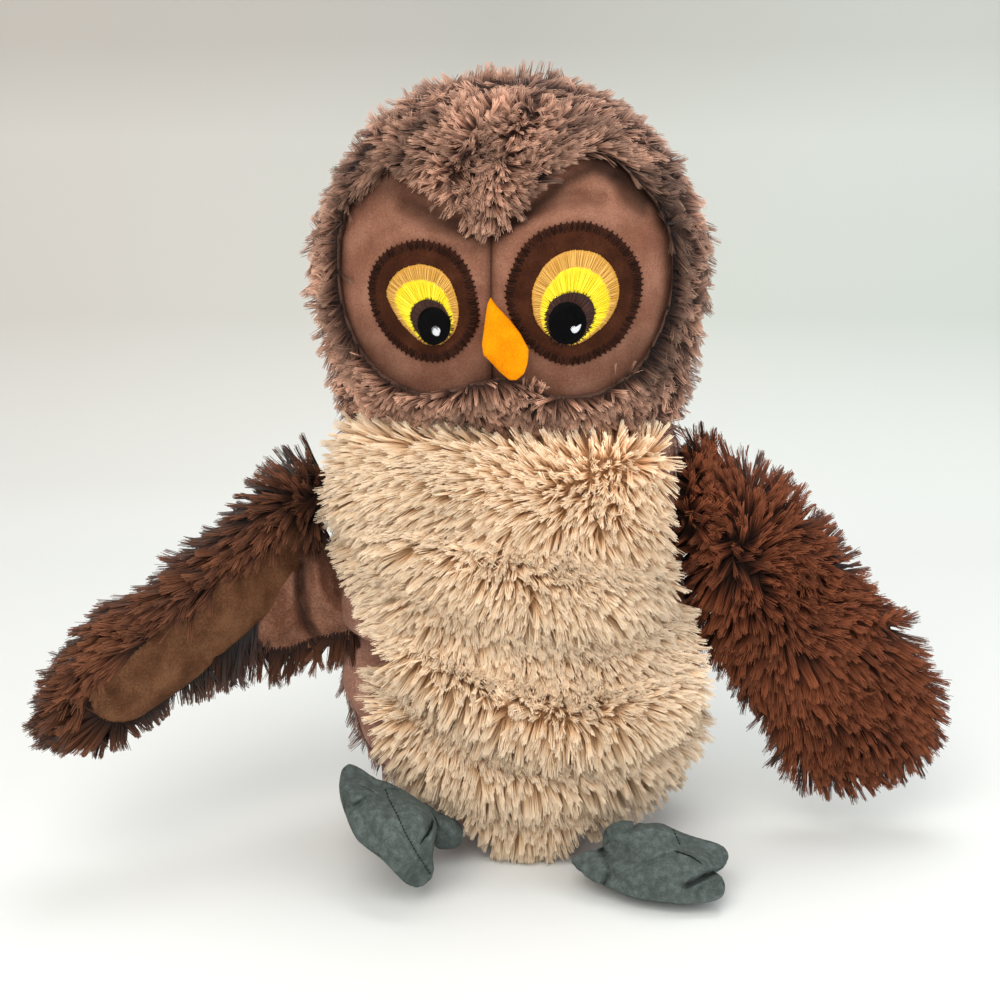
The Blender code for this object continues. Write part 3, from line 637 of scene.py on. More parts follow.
def growPile(name, form, values, keep, combOf, material):
    # Each lock takes one direction, and its hairs close up towards the lock's tip
    rng = np.random.default_rng(values["seed"])
    roots, outwards = scatter(form, values["count"], keep, rng)
    count = len(roots)
    lockCount = max(count // values["hairsToLock"], 1)
    leaders = rng.choice(count, lockCount, replace=False)
    tree = KDTree(lockCount)
    for k, leader in enumerate(leaders):
        tree.insert(roots[leader], k)
    tree.balance()
    lockOf = np.array([tree.find(root)[1] for root in roots])
    guide, normal = roots[leaders], outwards[leaders]
    comb, length, stands, shade = combOf(guide, normal)
    comb = comb + swirl(guide, values["wander"], values["seed"]) * values["mess"]
    comb = comb - normal * np.sum(comb * normal, axis=1, keepdims=True)
    tilt = rng.normal(size=(lockCount, 3)) * values["scatter"]
    stand = values["stand"] * stands * rng.uniform(0.75, 1.25, lockCount)
    tone = rng.random(lockCount)
    hairSize = (length * rng.uniform(0.85, 1.08, lockCount))[lockOf] * rng.uniform(0.9, 1.03, count)
    own = rng.normal(size=(count, 3)) * values["fray"]
    tips = roots.copy()
    for step in range(hairSteps):
        t = (step + 0.5) / hairSteps
        heading = normal * (stand * (1 - values["bend"] * t))[:, None] + comb * (0.35 + t) + tilt * (0.4 + t)
        heading[:, 2] -= values["droop"] * t
        heading = unit(unit(heading)[lockOf] + own * t)
        tips += heading * (hairSize / hairSteps)[:, None]
    tips -= (roots - guide[lockOf]) * values["close"]
    ends = np.stack([roots, tips], 1)
    ends[:, :, 2] = np.maximum(ends[:, :, 2], floorGap)
    return hairMesh(name, ends, outwards, values, tone[lockOf], (shade * np.ones(lockCount))[lockOf], rng, material)


def hairMesh(name, ends, outwards, values, tone, shade, rng, material):
    # Closed three-sided hairs of 8 triangles each. Fine fibres scatter light as the cloth they cover would,
    # so the hairs are shaded mostly by the cloth's normal and little by their own.
    count, each = len(ends), 6
    heading = unit(np.gradient(ends, axis=1))
    side = unit(np.cross(heading[:, :1], unit(rng.normal(size=(count, 1, 3)))))
    side = unit(side - heading * np.sum(side * heading, axis=2, keepdims=True))
    other = np.cross(heading, side)
    girth = values["thick"] * rng.uniform(0.75, 1.2, count)[:, None] * np.array((1, values["tip"]))
    points = np.empty((count, each, 3))
    for corner in range(3):
        angle = 2 * math.pi * corner / 3
        wide = side * math.cos(angle) + other * math.sin(angle)
        points[:, corner::3] = ends + wide * girth[..., None]
    faces = repeated((bandFaces(2, 3), [(2, 1, 0), (3, 4, 5)]), count, each)
    item = meshOf(name, points.reshape(-1, 3), faces, material)
    own = normalsOf(item).reshape(count, each, 3)
    item.data.normals_split_custom_set_from_vertices(unit(outwards[:, None] + own * values["edge"]).reshape(-1, 3))
    setHair(item, each, np.repeat((0, 1), 3), tone[:, None], shade[:, None])
    return item


# Body

bodyValues = {"voxel": 0.0048, "smoothing": 3, "shrink": 0.004, "pressure": 4.0, "stiffness": 15.0, "cap": 0.002,
              "wall": 0.001}
bodyForm = stuffForm("bodyForm", ["belly_panel", "back_cover", "body_filling", "pellet_pouch"], bodyValues)

# The slack cloth hangs in folds, given in millimetres from the front: the line (x, z) under which it drops back,
# how far it stands out above the line, how far it falls in below and how much the pile hangs there
# hang also sets the painted shade just below each fold's line
bellyFolds = [
    {"line": [(-14, 133), (0, 130), (20, 126), (40, 121), (56, 116)], "out": 1.2, "in": 1.0, "hang": 0.4},
    {"line": [(-68, 128), (-53.5, 122), (-32.5, 112), (-9.5, 104), (8, 98), (33, 95), (58, 99), (75, 104)],
     "out": 3.0, "in": 3.0, "hang": 0.8},
    {"line": [(-68, 84), (-49, 77), (-24, 64), (-6, 54), (23, 47), (48, 50), (66, 60), (80, 68)],
     "out": 6.0, "in": 5.5, "hang": 1.0},
    {"line": [(-70, 58), (-58, 50), (-33, 35), (-6, 27), (23, 28), (48, 34), (66, 42), (80, 50)],
     "out": 4.5, "in": 4.5, "hang": 1.0},
]
bellyHem = [(-80, 54), (-62, 47), (-48, 41), (-36, 35), (-24, 28), (-12, 16), (-2, 4), (8, 6), (18, 14), (30, 19), (46, 24),
            (68, 33), (80, 42)]
bellyEdges = {
    "left": [(25, -30), (36, -36), (47, -43), (57, -48), (72, -48), (81, -40), (92, -47), (113, -59), (132, -66),
             (150, -66), (165, -62)],
    "right": [(25, 50), (30, 58), (47, 66), (57, 67), (78, 64), (91, 61), (105, 56), (116, 52), (132, 54), (155, 53), (165, 48)],
}

bellyShape = {
    # The tuck at the right flank, how far each flank comes in where the wings are sewn on, and how the lower end
    # comes to a point. All in millimetres.
    "tuck": {"z": 78, "deep": 5.0, "wide": 4},
    "waist": {"z": (40, 60, 80, 95, 115, 135, 160), "right": (0, 0, 1, 2, 1, 0, 1), "left": (0, 0, 0, 2, 4, 0, -5)},
    "lift": {"x": (-70, -40, -20, 0, 20, 45, 70), "up": (20, 14, 3, -2, 1, 5, 13)},
}


def underFold(fold, x, z):
    line = np.array(fold["line"])
    return np.interp(x, line[:, 0], line[:, 1]) - z


def bendBody():
    points, normals = pointsOf(bodyForm), normalsOf(bodyForm)
    front = ramp(-points[:, 1], 0.0, 0.03)
    x, z = points[:, 0] / mm, points[:, 2] / mm
    push = np.zeros(len(points))
    for fold in bellyFolds:
        below = underFold(fold, x, z)
        push += fold["out"] * near(below + 9, 9) - fold["in"] * near(below - 3.5, 4.5)
    tuck, waist, lift = (bellyShape[word] for word in ("tuck", "waist", "lift"))
    push -= tuck["deep"] * near(z - tuck["z"], tuck["wide"]) * ramp(-x, 35, 55)
    points += normals * (push * mm * front)[:, None]
    inwards = np.interp(z, waist["z"], waist["right"]) * ramp(-x, 25, 60)
    inwards -= np.interp(z, waist["z"], waist["left"]) * ramp(x, 25, 60)
    points[:, 0] += inwards * mm
    points[:, 2] += np.interp(x, lift["x"], lift["up"]) * mm * front * (1 - ramp(z, 0, 45))
    points[:, 2] = np.maximum(points[:, 2], 1.5 * mm)
    setPoints(bodyForm, points)


bendBody()
print("body stuffed")


def inBelly(points, normals):
    x, z = points[:, 0] / mm, points[:, 2] / mm
    left, right, hem = (np.array(line) for line in (bellyEdges["left"], bellyEdges["right"], bellyHem))
    inside = (x > np.interp(z, left[:, 0], left[:, 1])) & (x < np.interp(z, right[:, 0], right[:, 1]))
    return inside & (z > np.interp(x, hem[:, 0], hem[:, 1])) & (points[:, 1] < -0.019) & (z < 172)


bellySkin = partOf(bodyForm, "belly_backing", inBelly, bellyBacking, bodyValues["wall"])
backSkin = partOf(bodyForm, "back_backing", lambda p, n: ~inBelly(p, n), flankVelour, bodyValues["wall"])

# x, z and the way the pile lies there, seen from the front. The pile parts at (50, 157).
bellyCombs = [
    (-64, 163, -0.7, 0.5), (-60, 154, -1.0, -0.1), (-45, 165, -0.9, 0.35), (-42, 156, -1.0, 0.0), (-20, 166, -0.9, 0.4),
    (-18, 156, -0.9, 0.1), (0, 168, -0.8, 0.5), (24, 168, -0.5, 0.6), (48, 167, 0.0, 0.7), (4, 150, -1.0, -0.15),
    (20, 152, -1.0, 0.05), (30, 162, -0.6, 0.6), (36, 154, -0.7, 0.1), (46, 157, -0.3, 0.1), (50, 163, 0.0, 0.6),
    (56, 156, 0.1, 0.0), (58, 145, 0.4, -0.3), (28, 143, -0.8, -0.3), (44, 143, -0.2, -0.4), (-65, 140, -1.0, -0.35),
    (-62, 125, -0.9, -0.55), (-40, 138, -0.95, -0.35), (-15, 138, -0.8, -0.4), (-10, 122, -0.4, -0.6), (-35, 118, -0.5, -0.6),
    (15, 118, -0.1, -0.6), (40, 115, 0.1, -0.6), (64, 120, 0.5, -0.7), (-55, 100, -0.7, -0.6), (-25, 100, -0.15, -0.5),
    (5, 95, 0.0, -0.35), (35, 92, 0.05, -0.4), (62, 92, 0.4, -0.6), (-50, 76, -0.6, -0.5), (-25, 75, -0.15, -0.5),
    (5, 70, 0.0, -0.35), (35, 70, 0.05, -0.4), (64, 70, 0.5, -0.5), (-55, 62, -0.8, -0.5), (-30, 45, -0.35, -0.7),
    (0, 42, 0.0, -0.6), (30, 45, 0.1, -0.6), (60, 48, 0.4, -0.7), (-30, 28, -0.4, -0.8), (-10, 16, -0.1, -0.9),
    (0, 10, 0.1, -0.9), (20, 20, 0.2, -0.8), (50, 30, 0.3, -0.7),
]
# Painted light: where the belly is made paler, x, z, how much and how far round
bellyPaintedLight = [(44, 154, 0.36, 600), (-12, 112, 0.11, 900)]


def bellyComb(points, normals):
    # Down and flat where a fold hangs over, and standing up on the slack above it
    flat = combField(points[:, ::2], bellyCombs, 0.011)
    x, z = points[:, 0] / mm, points[:, 2] / mm
    hang, dark = np.zeros(len(points)), np.zeros(len(points))
    for fold in bellyFolds:
        first, last = fold["line"][0][0], fold["line"][-1][0]
        below = underFold(fold, x, z)
        inside = ramp(x, first - 4, first + 6) * ramp(-x, -last - 4, -last + 6)
        hang += fold["hang"] * near(below + 3, 7) * inside
        # Painted shade just below each fold's line
        dark += fold["hang"] * near(below - 7, 5) * inside
    hang, dark = np.minimum(hang, 1), np.minimum(dark, 1)
    comb = np.stack([flat[:, 0], 0.4 * np.abs(flat[:, 0]) * ramp(-points[:, 1], -0.02, 0.05), flat[:, 1]], 1)
    comb *= (0.75 + 0.55 * hang)[:, None]
    edge = np.maximum(ramp(-x, 40, 56), ramp(x, 40, 56))
    stands = (1.45 - 0.65 * hang) * (1 - 0.35 * edge)
    length = (14.5 + 1.5 * hang - 2.5 * edge - 2.0 * (1 - ramp(z, 12, 40))) * mm
    # Painted light: paler patches and a paler lower edge, times the painted shade under the folds
    pale = np.ones(len(points))
    for across, up, more, size in bellyPaintedLight:
        pale += more * np.exp(-((x - across) ** 2 + (z - up) ** 2) / size)
    pale += 0.08 * (1 - ramp(z, 10, 35))
    return comb, length, stands, pale * (1 - 0.24 * dark)


# Down over the back, and shorter and standing less at the front, where painted light makes it paler
def backComb(points, normals):
    down = np.stack([points[:, 0] * 4, np.zeros(len(points)), -np.ones(len(points))], 1)
    front = ramp(-points[:, 1], 0.0, 0.012)
    return down, 0.0095 - 0.0050 * front, 1 - 0.5 * front, 0.85 + 0.4 * front


pileValues = {
    "belly": {"edge": 0.40, "counts": (15500, 18000, 18500, 19500), "hairsToLock": 10, "thick": 0.000176, "tip": 0.6,
              "stand": 0.95, "bend": 0.6, "droop": 0.22, "wander": 0.045, "mess": 0.14, "scatter": 0.16, "fray": 0.07,
              "close": 0.50},
    "back": {"edge": 0.45, "counts": (6500, 6500), "hairsToLock": 8, "thick": 0.00024, "tip": 0.4,
             "stand": 0.5, "bend": 0.7, "droop": 0.2, "wander": 0.030, "mess": 0.40, "scatter": 0.2, "fray": 0.08,
             "close": 0.5},
    "head": {"edge": 0.45, "counts": (16000, 16000, 11000, 8500), "hairsToLock": 9,
             "thick": (0.00016, 0.00016, 0.00022, 0.00026), "tip": 0.45,
             "stand": 0.52, "bend": 0.7, "droop": 0.10, "wander": 0.016, "mess": 0.42, "scatter": 0.28, "fray": 0.12,
             "close": 0.60},
    "wing": {"edge": 0.45, "counts": (8000, 8000, 8000), "hairsToLock": 11, "thick": 0.000205, "tip": 0.55,
             "stand": 0.95, "bend": 0.6, "droop": 0.18, "wander": 0.030, "mess": 0.28, "scatter": 0.18, "fray": 0.07,
             "close": 0.60},
    "fringe": {"edge": 0.45, "counts": (900,), "hairsToLock": 12, "thick": 0.00020, "tip": 0.35,
               "stand": 0.3, "bend": 0.6, "droop": 0.6, "wander": 0.020, "mess": 0.25, "scatter": 0.22, "fray": 0.07,
               "close": 0.75},
}


def growBands(word, form, kind, cuts, inArea, combOf, material):
    # One pile in several pieces, each between two marks of some measure of the form
    pieces = []
    for k, inCut in enumerate(cuts):
        thick = np.broadcast_to(pileValues[kind]["thick"], len(cuts))[k]
        values = dict(pileValues[kind], seed=17 * len(word) + k, count=pileValues[kind]["counts"][k], thick=thick)
        keep = lambda p, n, inCut=inCut: inArea(p, n) * inCut(p)
        pieces.append(growPile(f"{word}_{k + 1}", form, values, keep, combOf, material))
    return pieces


def between(low, high, measure):
    return lambda points: (measure(points) >= low) & (measure(points) < high)


heightOf = lambda points: points[:, 2]
bellyCuts = [between(low, high, heightOf) for low, high in ((-1, 0.052), (0.052, 0.086), (0.086, 0.122), (0.122, 1))]
bellyPiles = growBands("belly_pile", bodyForm, "belly", bellyCuts, inBelly, bellyComb, bellyPile)
# The lower flanks are bare velour
bareFlank = lambda p: (p[:, 1] < -0.012) & (p[:, 2] < 0.112) & (np.abs(p[:, 0]) > 0.02)
backArea = lambda p, n: ~inBelly(p, n) & ~bareFlank(p) & (n[:, 2] > -0.8) & (p[:, 2] < 0.165)
backCuts = [between(-1, 0.085, heightOf), between(0.085, 1, heightOf)]
backPiles = growBands("back_pile", bodyForm, "back", backCuts, backArea, backComb, backPile)
print("body pile grown")


# Head, in its own frame: origin in the middle of the neck, facing -Y

headPlace = Matrix.Translation(Vector(joints["head_turn"]["pos_m"])) @ Matrix.Rotation(math.radians(-6), 4, "Z")
headValues = {"height": 0.126, "width": 0.150, "depth": 0.130, "squareness": 2.3}
headShares = np.array((
    (0.000, 0.870, 0.840), (0.080, 0.890, 0.880), (0.200, 0.930, 0.930), (0.350, 0.985, 0.985),
    (0.460, 1.000, 1.000), (0.560, 0.975, 0.985), (0.660, 0.910, 0.930), (0.760, 0.815, 0.840),
    (0.850, 0.690, 0.720), (0.925, 0.525, 0.550), (0.975, 0.320, 0.340), (0.996, 0.130, 0.140),
))
faceLoop = smoothLoop(np.array((
    (-0.0037, 0.0731), (-0.0146, 0.0847), (-0.0256, 0.0930), (-0.0390, 0.0939), (-0.0512, 0.0872), (-0.0567, 0.0714),
    (-0.0573, 0.0515), (-0.0531, 0.0349), (-0.0427, 0.0216), (-0.0256, 0.0150), (-0.0085, 0.0192), (0.0037, 0.0216),
    (0.0171, 0.0158), (0.0329, 0.0150), (0.0488, 0.0233), (0.0586, 0.0399), (0.0616, 0.0598), (0.0573, 0.0773),
    (0.0488, 0.0880), (0.0378, 0.0980), (0.0244, 0.0972), (0.0122, 0.0864),
)), 120)


def inHead(points):
    return intoFrame(points, headPlace)


def headHalfSizes(z, inset):
    share = z / (headValues["height"] - inset)
    return [np.interp(share, headShares[:, 0], headShares[:, column]) * headValues[word] / 2 - inset
            for column, word in ((1, "width"), (2, "depth"))]


def faceY(x, z, inset):
    width, depth = headHalfSizes(z, inset)
    beside = np.maximum(1 - np.abs(x / width) ** headValues["squareness"], 0)
    return -depth * beside ** (1 / headValues["squareness"])


# Folds of the face, in millimetres in the head's frame: line, how deep (a ridge is below 0) and how wide
faceFolds = [
    {"line": [(-1.3, 76), (-1.2, 60), (-1.2, 45), (-1.1, 14)], "deep": 1.7, "wide": 1.3},
    {"line": [(-1.3, 76), (-1.2, 45), (-1.1, 14)], "deep": 2.2, "wide": 6.0},
    {"line": [(1.0, 73.5), (9.0, 77.5), (17.5, 81.4), (27.6, 83.6), (36, 82.5)], "deep": 3.4, "wide": 3.0},
    {"line": [(2, 70.5), (12, 74.0), (22, 77.2), (32, 78.6), (44, 75.0)], "deep": -2.0, "wide": 3.2},
    {"line": [(24, 91), (34, 92), (44, 86)], "deep": -2.2, "wide": 5.5},
    {"line": [(41.5, 89.5), (45.5, 83.5), (51.0, 78.5)], "deep": 3.4, "wide": 2.2},
    {"line": [(-9.0, 72.6), (-17.0, 75.0), (-24.5, 77.4), (-33.0, 80.5)], "deep": 3.6, "wide": 3.0},
    {"line": [(-8.0, 68.5), (-22.0, 72.0), (-33.0, 72.6), (-42.0, 68.0)], "deep": -2.0, "wide": 3.0},
    {"line": [(-36, 88), (-46, 84)], "deep": -1.6, "wide": 4.5},
]


# Painted shade on it: under the hood's edge, in the folds, along the seam and low on the face. The line, how wide and
# how dark.
faceShades = [
    ([(-52, 84), (-42, 88), (-34, 86), (-26, 82), (-14, 75), (-6, 71)], 6.5, 0.58),
    ([(2, 71), (9, 77), (17, 83.5), (24, 89.5), (34, 94), (43, 90), (51, 82)], 3.0, 0.75),
    ([(1, 73.5), (9, 77.5), (17.5, 81.4), (27.6, 83.6), (36, 82.5)], 2.6, 0.26),
    ([(41.5, 90), (45.5, 83.5), (51, 78.5)], 2.2, 0.40),
    ([(-1.3, 76), (-1.1, 14)], 0.8, 0.45), ([(-1.3, 76), (-1.1, 14)], 4.0, 0.14),
    ([(-48, 24), (-36, 15), (-22, 11), (-8, 15), (0, 19), (10, 15), (28, 11), (44, 16), (54, 26)], 7.0, 0.38),
    ([(-46, 30), (-26, 20), (-8, 24), (8, 26), (28, 22), (48, 30)], 11, 0.26),
    ([(-9, 72.6), (-17, 75), (-24.5, 77.4), (-33, 80.5)], 2.6, 0.36), ([(-58, 70), (-58, 45), (-52, 30)], 2.5, 0.50),
    ([(54, 84), (61, 72), (62, 52), (58, 32)], 3.2, 0.60),
    ([(31, 99), (40, 95.7), (49, 90), (56.5, 83), (60.5, 75)], 4.2, 0.80),
]
# Each panel as it was cut, and how far its cloth lies inside the hood's and past the hood's edge
faceValues = {"across": 105, "up": 140, "seam": -0.0012, "width": 0.066, "low": 0.010, "height": 0.093,
              "inset": 0.0045, "hem": 0.0045, "wall": 0.0012}


def faceRelief(x, z):
    flat = np.stack([x, z], 1) / mm
    total = np.zeros(len(flat))
    for fold in faceFolds:
        total += fold["deep"] * mm * near(lineDistance(flat, fold["line"]), fold["wide"])
    return total


def onFace(flat, height=0.0):
    # Points of the face's plane pressed on to its cloth, this far off it
    flat = np.asarray(flat, float)
    y = faceY(flat[:, 0], flat[:, 1], faceValues["inset"]) + faceRelief(flat[:, 0], flat[:, 1]) - height
    return outOfFrame(np.stack([flat[:, 0], y, flat[:, 1]], 1), headPlace)


def makeFacePanel(name, side):
    values = faceValues
    bpy.ops.mesh.primitive_grid_add(x_subdivisions=values["across"], y_subdivisions=values["up"], size=1)
    panel = bpy.context.object
    panel.name = panel.data.name = name
    grid = pointsOf(panel)
    x = values["seam"] + side * (grid[:, 0] + 0.5) * values["width"]
    z = values["low"] + (grid[:, 1] + 0.5) * values["height"]
    width = headHalfSizes(z, values["inset"])[0]
    setPoints(panel, onFace(np.stack([np.clip(x, -width * 0.985, width * 0.985), z], 1)))
    shape = bmesh.new()
    shape.from_mesh(panel.data)
    bmesh.ops.remove_doubles(shape, verts=shape.verts, dist=1e-6)
    centres = inHead([face.calc_center_median() for face in shape.faces])[:, ::2]
    hem = smoothLoop(faceLoop, 120)
    outside = ~insideLine(centres, hem) & (lineDistance(centres, closed(hem)) > values["hem"])
    bmesh.ops.delete(shape, geom=[f for f, out in zip(list(shape.faces), outside) if out], context="FACES")
    bmesh.ops.recalc_face_normals(shape, faces=shape.faces)
    shape.to_mesh(panel.data)
    shape.free()
    if normalsOf(panel)[:, 1].mean() > 0:
        panel.data.flip_normals()
    addModifier(panel, "SOLIDIFY", thickness=values["wall"], offset=-1)
    applyModifiers(panel)
    panel.data.shade_smooth()
    setPaintedShade(panel, inHead(pointsOf(panel))[:, ::2] / mm, faceShades)
    panel.data.materials.append(faceVelour)
    return panel


facePanels = {side: makeFacePanel(f"{side}_face_velour", turn) for side, turn in (("left", 1), ("right", -1))}
print("face made")


# Eyes: the outline of each layer, in millimetres in the head's frame

eyeOutlines = {
    "right": {
        "patch": [(-24.9, 68.6), (-16.2, 66.4), (-10.6, 61.5), (-7.6, 54.9), (-6.2, 47.3), (-5.8, 42.2), (-7.4, 37.4),
                  (-11.0, 32.1), (-15.5, 28.4), (-21.3, 26.7), (-27.6, 27.3), (-33.9, 30.2), (-38.8, 34.3),
                  (-42.4, 39.4), (-44.5, 45.0), (-45.5, 51.4), (-44.3, 56.7), (-41.7, 61.4), (-37.1, 65.4),
                  (-31.1, 67.7)],
        "gold": [(-24.9, 60.6), (-19.6, 59.3), (-15.7, 56.0), (-13.6, 51.4), (-12.4, 46.3), (-12.5, 42.1),
                 (-13.7, 38.1), (-15.7, 35.5), (-19.3, 32.9), (-23.3, 32.6), (-26.0, 33.5), (-29.9, 36.7),
                 (-32.5, 39.2), (-35.5, 43.4), (-37.5, 47.2), (-38.4, 50.1), (-37.3, 53.6), (-34.7, 57.1),
                 (-31.1, 59.4), (-27.5, 60.4)],
        "yellow": [(-24.9, 55.6), (-20.5, 54.6), (-17.1, 51.7), (-15.4, 48.0), (-14.2, 43.7), (-14.3, 39.4),
                   (-15.9, 36.3), (-19.3, 33.6), (-23.3, 33.0), (-25.9, 34.2), (-29.0, 37.1), (-31.8, 40.3),
                   (-34.4, 44.5), (-35.6, 48.1), (-34.6, 51.2), (-32.5, 53.4), (-28.9, 55.0)],
        "ring": [(-22.8, 48.7), (-19.1, 47.7), (-16.3, 45.0), (-15.0, 41.1), (-15.4, 37.6), (-17.5, 34.3),
                 (-21.1, 32.7), (-24.2, 33.2), (-27.0, 36.4), (-29.1, 39.8), (-29.6, 42.8), (-28.4, 45.9),
                 (-25.9, 48.0)],
        "pupil": [(-21.1, 46.1), (-17.6, 44.9), (-15.3, 42.0), (-15.1, 39.4), (-15.9, 36.3), (-18.0, 33.9),
                  (-21.1, 32.6), (-24.0, 33.2), (-25.9, 36.0), (-27.0, 39.4), (-26.2, 42.9), (-24.2, 45.2)],
        "glint": [(-20.2, 39.7), (-18.7, 38.3), (-19.2, 36.2), (-20.7, 36.0), (-21.9, 37.2), (-21.7, 39.0)],
    },
    "left": {
        "patch": [(31.1, 75.0), (37.2, 73.2), (42.9, 69.4), (47.4, 64.0), (50.1, 58.1), (50.6, 52.8), (49.8, 46.5),
                  (47.7, 40.7), (43.8, 34.0), (38.5, 30.1), (32.3, 27.1), (25.3, 26.1), (18.7, 28.3), (13.8, 31.8),
                  (9.9, 36.6), (6.5, 42.9), (4.7, 49.2), (5.0, 53.6), (7.0, 59.8), (9.5, 65.4), (14.3, 70.6),
                  (20.7, 73.8), (25.9, 74.8)],
        "gold": [(29.6, 65.8), (34.8, 64.8), (38.7, 62.1), (41.4, 58.5), (43.0, 53.6), (43.0, 49.5), (41.5, 44.7),
                 (38.5, 40.2), (34.1, 36.3), (29.7, 33.6), (25.3, 33.3), (19.2, 36.6), (16.6, 39.3), (14.6, 43.0),
                 (13.8, 47.4), (13.8, 51.9), (15.3, 56.3), (17.9, 60.6), (21.4, 63.7), (25.2, 65.4)],
        "yellow": [(29.6, 60.3), (34.0, 59.1), (37.5, 56.0), (39.7, 51.9), (40.4, 48.3), (39.8, 44.7), (37.6, 40.7),
                   (33.7, 36.7), (29.7, 34.1), (25.3, 33.5), (19.2, 37.0), (17.0, 40.2), (16.4, 43.8), (16.6, 48.3),
                   (18.4, 52.7), (21.0, 56.3), (24.5, 59.3)],
        "ring": [(28.0, 51.5), (31.5, 50.6), (34.1, 48.1), (35.0, 44.5), (34.1, 40.9), (32.4, 37.2), (28.8, 34.1),
                 (25.3, 33.3), (21.8, 34.2), (19.2, 37.0), (18.1, 41.1), (18.4, 44.7), (20.1, 48.3), (23.6, 50.7)],
        "pupil": [(25.8, 48.2), (29.3, 47.1), (31.5, 44.1), (32.2, 40.7), (31.3, 36.8), (28.8, 34.1), (25.8, 33.3),
                  (22.3, 34.2), (20.1, 37.0), (19.2, 40.9), (19.9, 44.3), (22.3, 47.2)],
        "glint": [(27.9, 40.0), (28.8, 39.7), (30.4, 40.6), (30.3, 39.4), (29.3, 37.8), (28.0, 37.3), (26.9, 38.2),
                  (26.9, 39.4)],
    },
}
# How far off the velour each layer stands, in millimetres
eyeHeights = {"patch": 1.2, "gold": 1.75, "yellow": 2.0, "ring": 2.2, "pupil": 2.5, "glint": 2.9}


def ringsMesh(name, rows, caps, material):
    # Closed rows of points from the bottom up, with a point in the middle of each end
    count, last = len(rows[0]), (len(rows) - 1) * len(rows[0])
    points = np.concatenate(rows + caps)
    top, bottom = len(points) - 2, len(points) - 1
    ends = [(last + i, last + (i + 1) % count, top) for i in range(count)]
    ends += [((i + 1) % count, i, bottom) for i in range(count)]
    item = meshOf(name, points, [bandFaces(len(rows), count), ends], material)
    faceOutwards(item)
    return item


def quarterTurn(rings):
    # The sines and cosines of a dome's rings, from its rim to near its top
    turns = [math.pi / 2 * k / rings for k in range(rings)]
    return [(math.sin(turn), math.cos(turn)) for turn in turns]


def flatDisc(name, outline, height, thick, material, rings, puff=0.0):
    # A low padded disc that follows the face. Its rim rolls down to the cloth below.
    centre = outline.mean(0)
    profile = [(1.0, thick), (1.012, thick * 0.45)] + [(share, -puff * up) for up, share in quarterTurn(rings)]
    rows = [onFace(centre + (outline - centre) * share, height - drop) for share, drop in profile]
    return ringsMesh(name, rows, [onFace([centre], height + puff), onFace([centre], height - thick)], material)


def threadMesh(name, lines, radius, tones, material, sides=5):
    # Tubes along many short lines of the same number of points, closed at their ends
    count, levels = lines.shape[:2]
    heading = unit(np.gradient(lines, axis=1))
    side = unit(np.cross(heading, np.array((0.0, -1.0, 0.0))))
    other = np.cross(side, heading)
    girth = np.sin(np.linspace(0.12, math.pi - 0.12, levels)) ** 0.35
    points = np.empty((count, levels * sides, 3))
    for k in range(sides):
        angle = 2 * math.pi * k / sides
        wide = side * math.cos(angle) + other * math.sin(angle)
        points[:, k::sides] = lines + wide * (radius * girth)[None, :, None]
    ends = [tuple(range(sides)), tuple((levels - 1) * sides + i for i in reversed(range(sides)))]
    faces = repeated((bandFaces(levels, sides, turned=True), ends), count, levels * sides)
    item = meshOf(name, points.reshape(-1, 3), faces, material)
    setHair(item, levels * sides, 1, tones[:, None], 1)
    return item


def layThreads(name, lines, height, radius, rng, material):
    # Stitches over the face: each point's place on it and its height over the layer
    lines = np.array(lines)
    placed = onFace(lines[:, :, :2].reshape(-1, 2), height + lines[:, :, 2].ravel()).reshape(lines.shape)
    return threadMesh(name, placed, radius, rng.random(len(lines)), material)


def rayHit(centre, angle, outline):
    # Where a ray from inside meets a closed outline
    direction = np.array((math.cos(angle), math.sin(angle)))
    best = 0.0
    for a, b in zip(outline, np.roll(outline, -1, axis=0)):
        edge = b - a
        cross = direction[0] * edge[1] - direction[1] * edge[0]
        if abs(cross) < 1e-12:
            continue
        reach = ((a - centre)[0] * edge[1] - (a - centre)[1] * edge[0]) / cross
        share = ((a - centre)[0] * direction[1] - (a - centre)[1] * direction[0]) / cross
        if reach > 0 and 0 <= share <= 1:
            best = max(best, reach)
    return best


def satinRing(name, outer, inner, height, values, material, seed):
    # Straight stitches side by side from one outline to the next, fanning out from the pupil
    rng = np.random.default_rng(seed)
    centre = inner.mean(0)
    lines = []
    for mark in smoothLoop(outer, int(lengthsAlong(closed(outer))[-1] / values["pitch"])):
        away = mark - centre
        angle = math.atan2(away[1], away[0]) + rng.normal() * 0.012
        far = rayHit(centre, angle, outer) + rng.uniform(*values["past"]) * mm
        close = rayHit(centre, angle, inner) - values["overlap"] + rng.uniform(-0.45, 0.45) * mm
        if far - close < 0.5 * mm:
            continue
        spots = centre + np.array((math.cos(angle), math.sin(angle))) * np.linspace(close, far, 6)[:, None]
        arch = np.array((-0.25, 0.05, 0.15, 0.15, 0.05, -0.30)) * mm + rng.uniform(-0.06, 0.06) * mm
        lines.append(np.column_stack([spots, arch]))
    return layThreads(name, lines, height, values["radius"], rng, material)


